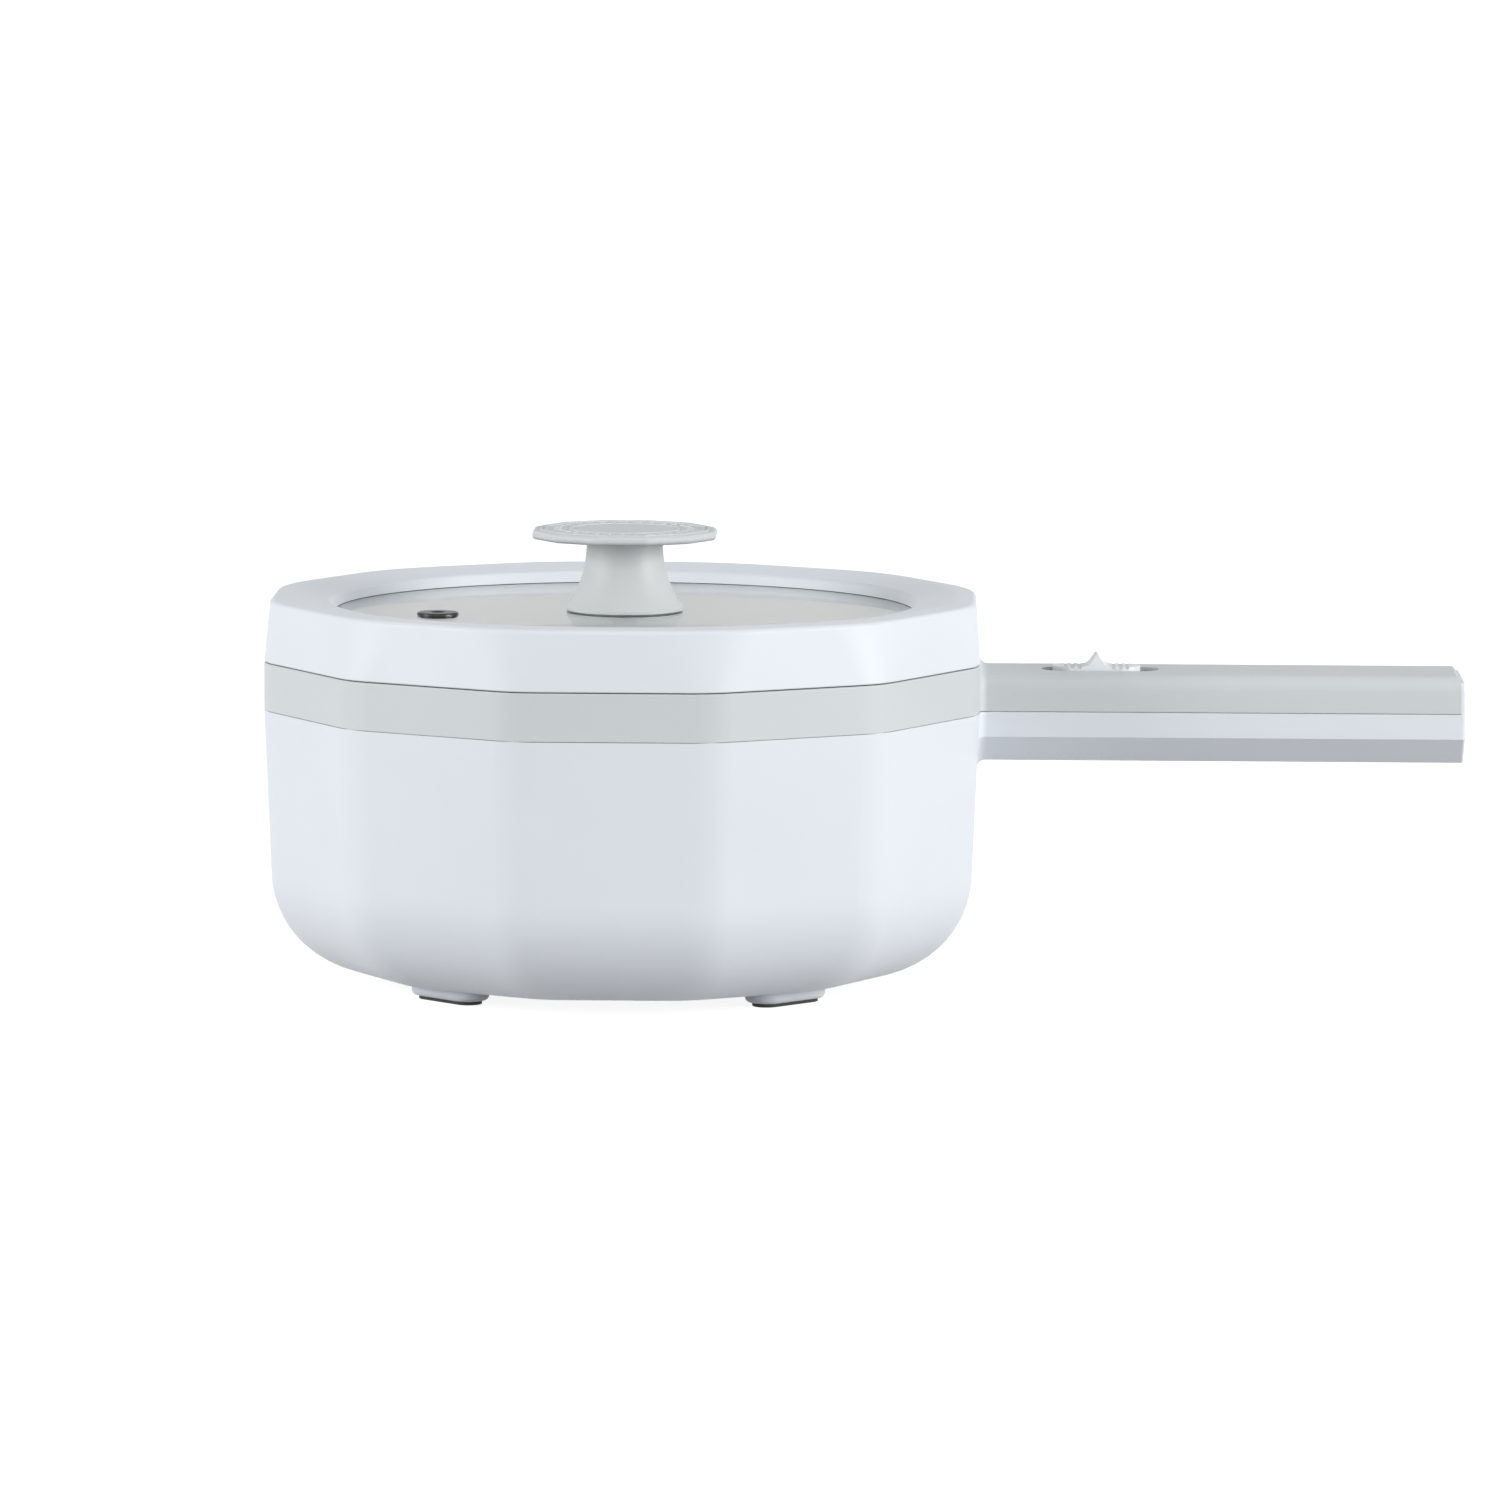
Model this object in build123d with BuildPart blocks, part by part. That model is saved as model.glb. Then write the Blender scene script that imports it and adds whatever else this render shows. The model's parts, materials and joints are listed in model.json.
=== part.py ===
from build123d import *
from math import cos, radians, sin, tan
import os

# Electric hot pot with a lift-off glass lid and a side handle.
# Millimetres, +Z up. The origin is on the pot's vertical axis at table level.
# The handle points along +X.

# Housing outline
SIDES = 12                  # flat faces round the pot
APOTHEM = 110.0             # axis to a flat face, at the band
BASE_TAPER = 2.0            # how far each face leans in, from the band to the bottom curve
CORNER_R = 24.0             # rounding between two flat faces
BOTTOM_R = 32.5             # curve from the sides to the underside
CURVE_STEPS = 6             # sections in the bottom curve
WALL = 2.4                  # housing mouldings
EDGE_ROUND = 0.4            # broken edges at the lid's and the band's joint
CUT_MARGIN = 5.0            # cuts run this far past what they open
JOIN = 0.5                  # overlap of a form with the wall that it grows from
RIB_THICKNESS = 1.6

# Heights
PAD_THICKNESS = 1.2         # rubber pads under the feet
FOOT_HEIGHT = 3.1           # moulded feet below the underside
BODY_HEIGHT = 82.1          # underside to the seam
BAND_HEIGHT = 14.7          # seam to the top of the band
LID_RIM_HEIGHT = 19.0
LID_GAP = 0.3               # lid rim and lid seal above what they meet
SEAM_GROOVE = 0.25          # shadow line between the two mouldings
SEAM_DEPTH = 0.8

UNDERSIDE = PAD_THICKNESS + FOOT_HEIGHT
FLOOR = UNDERSIDE + WALL
SEAM = UNDERSIDE + BODY_HEIGHT
BAND_TOP = SEAM + BAND_HEIGHT
LID_BOTTOM = BAND_TOP + LID_GAP
LID_TOP = LID_BOTTOM + LID_RIM_HEIGHT

# Handle
HANDLE_HALF = 19.0          # half the width
HANDLE_FLAT = 10.9          # half the width of the flat underside
HANDLE_ABOVE = 11.5         # top face above the seam
HANDLE_BELOW = 15.8         # bottom face below the seam
HANDLE_CHAMFER = 8.1        # height of the lower chamfer
HANDLE_ROUND = 4.5          # rounding of the two top edges
HANDLE_LENGTH = 147.9       # pot face to the end cap
HANDLE_END_ROUND = 1.6      # rounding at the end of the top face
HANDLE_FILLET = 2.5         # where the handle meets the pot
HANDLE_ROOT_DEPTH = 12.0    # the handle's channel starts this far inside the pot face
CAP_THICKNESS = 1.4
CAP_EDGE = 0.9

HANDLE_TOP = SEAM + HANDLE_ABOVE
HANDLE_BOTTOM = SEAM - HANDLE_BELOW
HANDLE_END = APOTHEM + HANDLE_LENGTH
HANDLE_ROOF = HANDLE_TOP - WALL
HANDLE_FLOOR = HANDLE_BOTTOM + WALL
HANDLE_INNER = HANDLE_HALF - WALL

# Tongue that lines the two housings up
TONGUE_THICKNESS = 1.8
TONGUE_RISE = 4.2
TONGUE_ROOT = 6.8
TONGUE_CLEARANCE = 0.2

# Inner pot and its seat
POT_WALL = 1.8
BAND_EDGE = 5.5             # from a flat face of the band to the pot's seat
SEAT_MARGIN = 0.5           # seat wall outside the flange
FLANGE_WIDTH = 8.1
POT_TAPER = 3.2             # how much narrower the pot is at its bottom corner
POT_CORNER_R = 14.0
POT_LIP_R = 3.0
FLANGE_DROP = 0.1           # flange top below the band's top
GASKET_THICKNESS = 1.0
GASKET_WIDTH = 4.2
GASKET_MARGIN = 0.6         # gasket inside the flange's edge
SEAT_OVERHANG = 0.4         # deck inside the gasket

FLANGE_R = APOTHEM - BAND_EDGE - SEAT_MARGIN
POT_TOP_R = FLANGE_R - FLANGE_WIDTH     # middle of the wall, at the flange
POT_BASE_R = POT_TOP_R - POT_TAPER      # middle of the wall, above the bottom corner
FLANGE_TOP = BAND_TOP - FLANGE_DROP
FLANGE_BASE = FLANGE_TOP - POT_WALL
DECK_TOP = FLANGE_BASE - GASKET_THICKNESS
GASKET_OUTER = FLANGE_R - GASKET_MARGIN
GASKET_INNER = GASKET_OUTER - GASKET_WIDTH

# Feet
FOOT_MARGIN = 5.2           # foot centre inside the flat underside's edge
FOOT_COUNT = 4
FOOT_LENGTH = 29.0
FOOT_WIDTH = 13.0
FOOT_ROUND = 1.6
PAD_INSET = 2.2             # pad inside the foot's edge
PAD_ROUND = 0.3
FOOT_HEAD_R = 3.6
FOOT_HEAD_HEIGHT = 2.6
FOOT_SCREW_R = 1.9
FOOT_BOSS_R = 6.0
HEAD_CLEARANCE = 0.4
CLINCH_HEIGHT = 3.0
CLINCH_R = 3.5
FOOT_PLACE_R = APOTHEM - BOTTOM_R - FOOT_MARGIN

# Stack under the pot
BOSS_HEIGHT = 6.0           # foot bosses above the housing floor
SHIELD_THICKNESS = 1.0
SHIELD_MARGIN = 2.5         # shield outside the foot bosses
SHIELD_RIM = 1.5
SHIELD_HOLE_R = 22.0
POST_HEIGHT = 9.0           # heater posts above the shield
PLATE_THICKNESS = 4.0
PLATE_MARGIN = 12.7         # plate inside the pot's flat base
SHIELD_R = FOOT_PLACE_R + FOOT_BOSS_R + SHIELD_MARGIN
PLATE_R = POT_BASE_R - POT_CORNER_R - PLATE_MARGIN
SHIELD_BASE = FLOOR + BOSS_HEIGHT
SHIELD_TOP = SHIELD_BASE + SHIELD_THICKNESS
PLATE_BASE = SHIELD_TOP + POST_HEIGHT
POT_BASE = PLATE_BASE + PLATE_THICKNESS

# Heating tube
TUBE_R = 3.3
TUBE_INSET = 16.0           # tube inside the plate's edge
TUBE_DROP = 2.5             # tube centre below the plate
TUBE_GAP = 80.0             # degrees left open towards the handle
TUBE_BEND_R = 12.0
TUBE_TAIL = 10.0
TUBE_CLEARANCE = 0.05
RIB_HALF = 6.0
TUBE_RING_R = PLATE_R - TUBE_INSET
RIB_OPENING = TUBE_RING_R * sin(radians(TUBE_GAP / 2)) - RIB_HALF
TUBE_Z = PLATE_BASE - TUBE_DROP
PIN_R = 1.2                 # heater terminal pins
PIN_LENGTH = 9.0
BEAD_R = 2.4
BEAD_LENGTH = 4.0

# Heater posts and their nuts
POST_INSET = 14.0           # posts inside the tube's ring
POST_R = 3.5
STUD_R = 1.95
STUD_LENGTH = 4.0
NUT_HEIGHT = 2.8
NUT_HALF = 3.5
THREAD_CLEARANCE = 0.05
POST_PLACE_R = TUBE_RING_R - POST_INSET

# Thermostat and thermal fuse
THERMOSTAT_R = 8.0
THERMOSTAT_CUP = 4.0
THERMOSTAT_BODY_R = 7.2
THERMOSTAT_BODY = 7.0
STRAP_HALF = 19.0
STRAP_WIDTH = 10.0
STRAP_THICKNESS = 1.0
STRAP_SCREW_Y = 14.0
STRAP_BOSS_R = 3.2
SMALL_SCREW_R = 1.45
SMALL_HEAD_R = 2.7
SMALL_HEAD_HEIGHT = 1.8
FUSE_R = 2.3
FUSE_LENGTH = 12.0
FUSE_INSET = 21.0           # fuse inside the tube's ring
FUSE_Y = -14.0
FUSE_EAR = 7.0
FUSE_X = TUBE_RING_R - FUSE_INSET

# Wires
WIRE_R = 1.2
WIRE_BEND = 14.0            # the largest bend that the housing leaves room for
WIRE_PITCH = 6.0
COMB_HEIGHT = 6.0
COMB_MARGIN = 2.4

# Switch
SLOT_LENGTH = 36.3
SLOT_WIDTH = 13.0
SLOT_CENTRE = 37.3          # from the pot face
BUTTON_LENGTH = 27.2
BUTTON_WIDTH = 12.0
BUTTON_OFFSET = -1.2        # button centre from the slot centre, at rest
BUTTON_RISE = 1.15          # button deck above the handle
BUTTON_RIDGE = 4.1          # thumb ridge above the deck, before its tip is rounded
BUTTON_RIDGE_HALF = 2.8
BUTTON_RIDGE_R = 3.0        # curve from the deck to the ridge
BUTTON_TIP_R = 0.6
BUTTON_GROOVES = 3          # on each side of the ridge
BUTTON_GROOVE_START = 5.3   # ridge to the first groove
BUTTON_GROOVE_WIDTH = 1.1
BUTTON_GROOVE_DEPTH = 0.7
BUTTON_GROOVE_PITCH = 2.1
CARRIAGE_LENGTH = 30.0
CARRIAGE_WIDTH = 17.0
CARRIAGE_CORNER_R = 1.5
CARRIAGE_THICKNESS = 2.2
SLIDE_CLEARANCE = 0.4       # carriage under the handle roof and over the switch
DRIVE_LENGTH = 4.0
DRIVE_WIDTH = 3.6
DRIVE_DEPTH = 4.0
CHANNEL_LENGTH = 20.0
CHANNEL_WIDTH = 4.6
CHANNEL_DEPTH = 5.0
SWITCH_LENGTH = 34.0
SWITCH_WIDTH = 13.0
SWITCH_HEIGHT = 10.0
EAR_THICKNESS = 1.5
EAR_SCREW_PITCH = 46.0
EAR_REACH = 3.5
TAB_LENGTH = 5.0
TAB_WIDTH = 4.8
TAB_THICKNESS = 0.8
TAB_DROP = 7.0              # tabs below the switch's top

SLOT_X = APOTHEM + SLOT_CENTRE
BUTTON_X = SLOT_X + BUTTON_OFFSET
CARRIAGE_TOP = HANDLE_ROOF - SLIDE_CLEARANCE
CARRIAGE_BASE = CARRIAGE_TOP - CARRIAGE_THICKNESS
SWITCH_TOP = CARRIAGE_BASE - SLIDE_CLEARANCE
SWITCH_TAB_Z = SWITCH_TOP - TAB_DROP

# Handle screws
HANDLE_SCREW_REACH = 74.0   # first screw, from the pot face
HANDLE_SCREW_PITCH = 26.0
BOSS_DROP = 7.0             # where the two screw sleeves meet, below the seam
HANDLE_BOSS_R = 4.0
HANDLE_SCREW_R = 1.5
HANDLE_HEAD_R = 2.9
HANDLE_HEAD_HEIGHT = 2.0
HANDLE_HEAD_SINK = 2.2
PILOT_DEPTH = 9.0
BOSS_JOINT = SEAM - BOSS_DROP
HANDLE_SCREW_X = APOTHEM + HANDLE_SCREW_REACH

# Appliance inlet
INLET_WIDTH = 23.0
INLET_HEIGHT = 16.0
INLET_LENGTH = 20.0
INLET_CORNER_R = 1.5
SOCKET_WIDTH = 19.5
SOCKET_HEIGHT = 12.0
SOCKET_DEPTH = 16.0
SOCKET_ROUND = 3.0
INLET_RISE = 15.9           # inlet centre above the handle's underside
INLET_PIN_R = 1.5
INLET_PIN_LENGTH = 11.5     # inside the socket
INLET_TAIL = 6.0
PIN_SPREAD = 5.5
LINE_PIN_RISE = 1.2
EARTH_PIN_DROP = 3.4
INLET_Z = HANDLE_BOTTOM + INLET_RISE
INLET_X = HANDLE_END - INLET_LENGTH
CAP_TAB = 4.0               # tabs of the end cap inside the handle
CAP_TAB_HEIGHT = 12.0
CAP_TAB_GAP = 0.1
INLET_RIB_INSET = 4.0       # ribs that hold the inlet, from its two ends
INLET_RIB_WIDTH = 18.0

# Lid
RIM_DRAFT = 1.25            # how far the rim's faces lean in
RIM_WALL = 2.2
RIM_ROUND = 1.5
RIM_SKIN = 2.2
RIM_TOP_CORNER_R = 60.0     # rounding between two flat faces, at the top of the rim
RIM_WIDTH = 20.4            # from a flat face to the opening over the glass
OPENING_FLARE = 1.4
OPENING_ROUND = 1.5
CREST_INSET = 7.5           # where the dished top starts, inside a flat face
CREST_WIDTH = 1.0           # level ring outside the dished top
SHOULDER_DROP = 0.6         # rim's top falls this much towards its outer edge
DISH_DEPTH = 1.9            # rim's top falls this much towards the glass
GLASS_THICKNESS = 4.0
GLASS_SEAT = 5.4            # glass hidden under the rim
GLASS_DEPTH = 5.3           # glass below the rim's top
GLASS_GAP = 0.15            # shadow line round the glass
LIP_THICKNESS = 2.8
GLASS_GASKET_EDGE = 2.0
GLASS_GASKET_LIP = 2.5
GLASS_GASKET_WALL = 1.0
RETAINER_GAP = 1.5          # retainer inside the rim's wall
RETAINER_THICKNESS = 2.4
SKIRT_THICKNESS = 1.6
SKIRT_CLEARANCE = 1.1
SKIRT_DIP = 3.2             # skirt below the flange
LID_SCREWS = 6
LID_SCREW_INSET = 3.1       # from the retainer's edge
LID_BOSS_R = 2.9
LID_SCREW_R = 1.2
LID_HEAD_R = 2.2
LID_HEAD_HEIGHT = 1.6
LID_PILOT_DEPTH = 7.0
LID_SCREW_TIP = 0.5         # screw short of the pilot's end
SEAL_WIDTH = 6.0
SEAL_BASE = 2.0
SEAL_LIP_INSET = 5.2        # lip inside the flange's edge
SEAL_LIP = 1.4
SEAL_MARGIN = 0.5

OPENING_R = APOTHEM - RIM_WIDTH
OPENING_TOP_R = OPENING_R + OPENING_FLARE
CREST_R = APOTHEM - CREST_INSET
SHOULDER = LID_TOP - SHOULDER_DROP
GLASS_R = OPENING_R + GLASS_SEAT
GLASS_GASKET_R = GLASS_R + GLASS_GASKET_EDGE
RETAINER_R = APOTHEM - RIM_WALL - RETAINER_GAP
LID_SCREW_PLACE_R = RETAINER_R - LID_SCREW_INSET
SEAL_LIP_R = FLANGE_R - SEAL_LIP_INSET
GLASS_TOP = LID_TOP - GLASS_DEPTH
GLASS_BASE = GLASS_TOP - GLASS_THICKNESS
RETAINER_TOP = GLASS_BASE - GLASS_GASKET_WALL
RETAINER_BASE = RETAINER_TOP - RETAINER_THICKNESS
RIM_ROOF = LID_TOP - DISH_DEPTH - RIM_SKIN

# Steam vent
VENT_X = -57.0
VENT_Y = -16.0
VENT_R = 6.4
VENT_BARREL_R = 4.0
VENT_BORE_R = 2.2
VENT_FLANGE = 0.8
VENT_ROUND = 0.6
VENT_CLEARANCE = 0.1

# Knob
KNOB_BASE_R = 18.0
KNOB_NECK_R = 11.8
KNOB_TOP_R = 12.4
KNOB_STEM_HEIGHT = 22.2
KNOB_COLLAR = 1.6           # flared collar under the disc
KNOB_BASE_EDGE = 0.8
KNOB_DISC_APOTHEM = 28.4
KNOB_DISC_THICKNESS = 2.8
KNOB_DISC_CORNER = 4.0
KNOB_DISC_EDGE = 1.2
KNOB_RELIEF = 0.3           # rings and ticks raised from the disc
KNOB_RING_WIDTH = 0.7
KNOB_RINGS = (26.2, 24.6, 17.0)     # apothems of the raised rings
KNOB_TICKS = 32             # short grip ticks between the rings
KNOB_TICK_PLACE_R = 20.7
KNOB_TICK_LENGTH = 2.4
KNOB_TICK_WIDTH = 0.9
KNOB_PLUG_R = 8.0
KNOB_PLUG = 6.8
KNOB_PLUG_CLEARANCE = 0.05
WASHER_THICKNESS = 0.4
WASHER_R = 15.8
INSERT_R = 3.5
INSERT_LENGTH = 10.0
KNOB_SCREW_R = 1.95
KNOB_SCREW_TIP = 8.5
KNOB_HEAD_R = 4.0
KNOB_HEAD_HEIGHT = 2.4
LOWER_SEAL_R = 9.0
LOWER_WASHER_R = 7.5
LOWER_THICKNESS = 0.8
GLASS_HOLE_R = 3.2
KNOB_BASE = GLASS_TOP + WASHER_THICKNESS
KNOB_TOP = KNOB_BASE + KNOB_STEM_HEIGHT


def facets(apothem, height, corner):
    """Twelve-sided outline with rounded corners; one flat faces +X."""
    with BuildSketch(Plane.XY.offset(height)) as outline:
        RegularPolygon(apothem, SIDES, major_radius=False, rotation=180 / SIDES)
        fillet(outline.vertices(), corner)
    return outline.sketch


def side_apothem(height):
    """Axis to a flat face of the lower housing, above its bottom curve."""
    share = (height - UNDERSIDE - BOTTOM_R) / (BODY_HEIGHT - BOTTOM_R)
    return APOTHEM - BASE_TAPER * (1 - share)


def bowl(inset, top):
    """Solid inside the housing's outer form, drawn in by inset, from the bottom up to top."""
    base_apothem = APOTHEM - BASE_TAPER - BOTTOM_R
    radius = BOTTOM_R - inset
    sections = []
    for step in range(CURVE_STEPS + 1):
        turn = radians(90 * step / CURVE_STEPS)
        apothem = base_apothem + radius * sin(turn)
        height = UNDERSIDE + BOTTOM_R - radius * cos(turn)
        sections.append(facets(apothem, height, CORNER_R - inset))
    with BuildPart() as form:
        loft(sections)
        loft([sections[-1], facets(side_apothem(top) - inset, top, CORNER_R - inset)], ruled=True)
    return form.part


def handle_section(x, inset, low, high):
    """Handle outline on the plane at x, drawn in by inset and kept between two heights."""
    with BuildSketch(Plane.YZ.offset(x)) as section:
        with BuildLine():
            Polyline(
                (-HANDLE_HALF, HANDLE_TOP),
                (HANDLE_HALF, HANDLE_TOP),
                (HANDLE_HALF, HANDLE_BOTTOM + HANDLE_CHAMFER),
                (HANDLE_FLAT, HANDLE_BOTTOM),
                (-HANDLE_FLAT, HANDLE_BOTTOM),
                (-HANDLE_HALF, HANDLE_BOTTOM + HANDLE_CHAMFER),
                close=True,
            )
        make_face()
        fillet(section.vertices().group_by(Axis.Y)[-1], HANDLE_ROUND)
        if inset:
            offset(amount=-inset)
        with Locations((0, (low + high) / 2)):
            Rectangle(4 * HANDLE_HALF, high - low, mode=Mode.INTERSECT)
    return section.sketch


def tube_form(radius):
    """Heating tube: an open ring whose two ends turn out towards the handle."""
    with BuildPart() as tube:
        with BuildLine(Plane.XY.offset(TUBE_Z)) as route:
            ring = CenterArc((0, 0), TUBE_RING_R, TUBE_GAP / 2, 360 - TUBE_GAP)
            swing = 90 - TUBE_GAP / 2
            first = JernArc(ring @ 0, -(ring % 0), TUBE_BEND_R, swing)
            last = JernArc(ring @ 1, ring % 1, TUBE_BEND_R, -swing)
            Line(first @ 1, first @ 1 + (TUBE_TAIL, 0))
            Line(last @ 1, last @ 1 + (TUBE_TAIL, 0))
        path = route.wires()[0]
        with BuildSketch(Plane(path @ 0, z_dir=path % 0)):
            Circle(radius)
        sweep(path=path)
    return tube.part


def wire_form(*points):
    """Wire along straight runs and tangent bends."""
    points = [Vector(*point) for point in points]
    bends = []
    for before, corner, after in zip(points, points[1:], points[2:]):
        run_in = corner - before
        run_out = after - corner
        room = 0.45 * min(run_in.length, run_out.length)
        turn = radians(run_in.get_angle(run_out))
        bends.append(min(WIRE_BEND, room / tan(turn / 2)))
    with BuildPart() as wire:
        with BuildLine() as route:
            FilletPolyline(*points, radius=bends)
        path = route.wires()[0]
        with BuildSketch(Plane(path @ 0, z_dir=path % 0)):
            Circle(WIRE_R)
        sweep(path=path)
    return wire.part


def foot_places():
    return PolarLocations(FOOT_PLACE_R, FOOT_COUNT, start_angle=180 / FOOT_COUNT)


def junction(part, low, high):
    """Edges where the handle's sides meet the pot face, between two heights."""
    edges = part.edges().filter_by_position(Axis.X, APOTHEM - BASE_TAPER, APOTHEM + 0.1)
    edges = edges.filter_by_position(Axis.Y, -HANDLE_HALF - 0.1, HANDLE_HALF + 0.1)
    return edges.filter_by_position(Axis.Z, low, high)


# ---------------------------------------------------------------- lower housing

HANDLE_ROOT = APOTHEM - HANDLE_ROOT_DEPTH
TONGUE_OUTER = APOTHEM - WALL - TONGUE_CLEARANCE
TONGUE_INNER = TONGUE_OUTER - TONGUE_THICKNESS
TONGUE_TOP = SEAM + TONGUE_RISE

with BuildPart() as lower_housing:
    add(bowl(0, SEAM))
    extrude(handle_section(HANDLE_ROOT, 0, HANDLE_BOTTOM, SEAM), amount=HANDLE_END - HANDLE_ROOT)
    fillet(junction(lower_housing, HANDLE_BOTTOM - 0.5, SEAM - 0.5), HANDLE_FILLET)
    # tongue, rooted in the wall below the seam
    extrude(facets(APOTHEM - WALL / 2, SEAM - TONGUE_ROOT, CORNER_R - WALL / 2), amount=TONGUE_ROOT)
    extrude(facets(TONGUE_OUTER, SEAM, CORNER_R - WALL), amount=TONGUE_RISE)
    # hollow of the pot, then the narrower hollow inside the tongue
    add(bowl(WALL, SEAM - TONGUE_ROOT), mode=Mode.SUBTRACT)
    extrude(
        facets(TONGUE_INNER, SEAM - TONGUE_ROOT, CORNER_R - WALL - TONGUE_THICKNESS),
        amount=TONGUE_ROOT + TONGUE_RISE,
        mode=Mode.SUBTRACT,
    )
    # channel of the handle, open into the pot and through the tongue
    extrude(
        handle_section(HANDLE_ROOT - CUT_MARGIN, WALL, HANDLE_BOTTOM, SEAM),
        amount=HANDLE_END - HANDLE_ROOT + CUT_MARGIN,
        mode=Mode.SUBTRACT,
    )
    with BuildSketch(Plane.XY.offset(SEAM)):
        with Locations((APOTHEM - CUT_MARGIN, 0)):
            Rectangle(2 * CUT_MARGIN, 2 * HANDLE_INNER)
    extrude(amount=TONGUE_RISE, mode=Mode.SUBTRACT)
    # feet, and the bosses above them
    with BuildSketch(Plane.XY.offset(PAD_THICKNESS)):
        with foot_places():
            SlotOverall(FOOT_LENGTH, FOOT_WIDTH, rotation=90)
    extrude(amount=FOOT_HEIGHT + WALL / 2)
    fillet(lower_housing.edges().group_by(Axis.Z)[0], FOOT_ROUND)
    with BuildSketch(Plane.XY.offset(UNDERSIDE + WALL / 2)):
        with foot_places():
            Circle(FOOT_BOSS_R)
    extrude(amount=BOSS_HEIGHT + WALL / 2)
    with BuildSketch(Plane.XY.offset(PAD_THICKNESS)):
        with foot_places():
            Circle(FOOT_SCREW_R + HEAD_CLEARANCE)
    extrude(amount=SHIELD_BASE - PAD_THICKNESS, mode=Mode.SUBTRACT)
    with BuildSketch(Plane.XY.offset(PAD_THICKNESS)):
        with foot_places():
            Circle(FOOT_HEAD_R + HEAD_CLEARANCE)
    extrude(amount=FOOT_HEAD_HEIGHT + HEAD_CLEARANCE, mode=Mode.SUBTRACT)
    # handle screw sleeves with sunk heads
    with BuildSketch(Plane.XY.offset(HANDLE_BOTTOM + WALL / 2)):
        with Locations((HANDLE_SCREW_X, 0), (HANDLE_SCREW_X + HANDLE_SCREW_PITCH, 0)):
            Circle(HANDLE_BOSS_R)
    extrude(amount=BOSS_JOINT - HANDLE_BOTTOM - WALL / 2)
    with BuildSketch(Plane.XY.offset(HANDLE_BOTTOM)):
        with Locations((HANDLE_SCREW_X, 0), (HANDLE_SCREW_X + HANDLE_SCREW_PITCH, 0)):
            Circle(HANDLE_SCREW_R + THREAD_CLEARANCE)
    extrude(amount=BOSS_JOINT - HANDLE_BOTTOM, mode=Mode.SUBTRACT)
    with BuildSketch(Plane.XY.offset(HANDLE_BOTTOM)):
        with Locations((HANDLE_SCREW_X, 0), (HANDLE_SCREW_X + HANDLE_SCREW_PITCH, 0)):
            Circle(HANDLE_HEAD_R + HEAD_CLEARANCE)
    extrude(amount=HANDLE_HEAD_SINK, mode=Mode.SUBTRACT)
    # ribs under the inlet
    with BuildSketch(Plane.XY.offset(HANDLE_BOTTOM + WALL / 2)):
        with Locations((INLET_X + INLET_RIB_INSET, 0), (HANDLE_END - INLET_RIB_INSET, 0)):
            Rectangle(RIB_THICKNESS, INLET_RIB_WIDTH)
    extrude(amount=INLET_RISE - INLET_HEIGHT / 2 - WALL / 2)

# ---------------------------------------------------------------- upper housing

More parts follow.
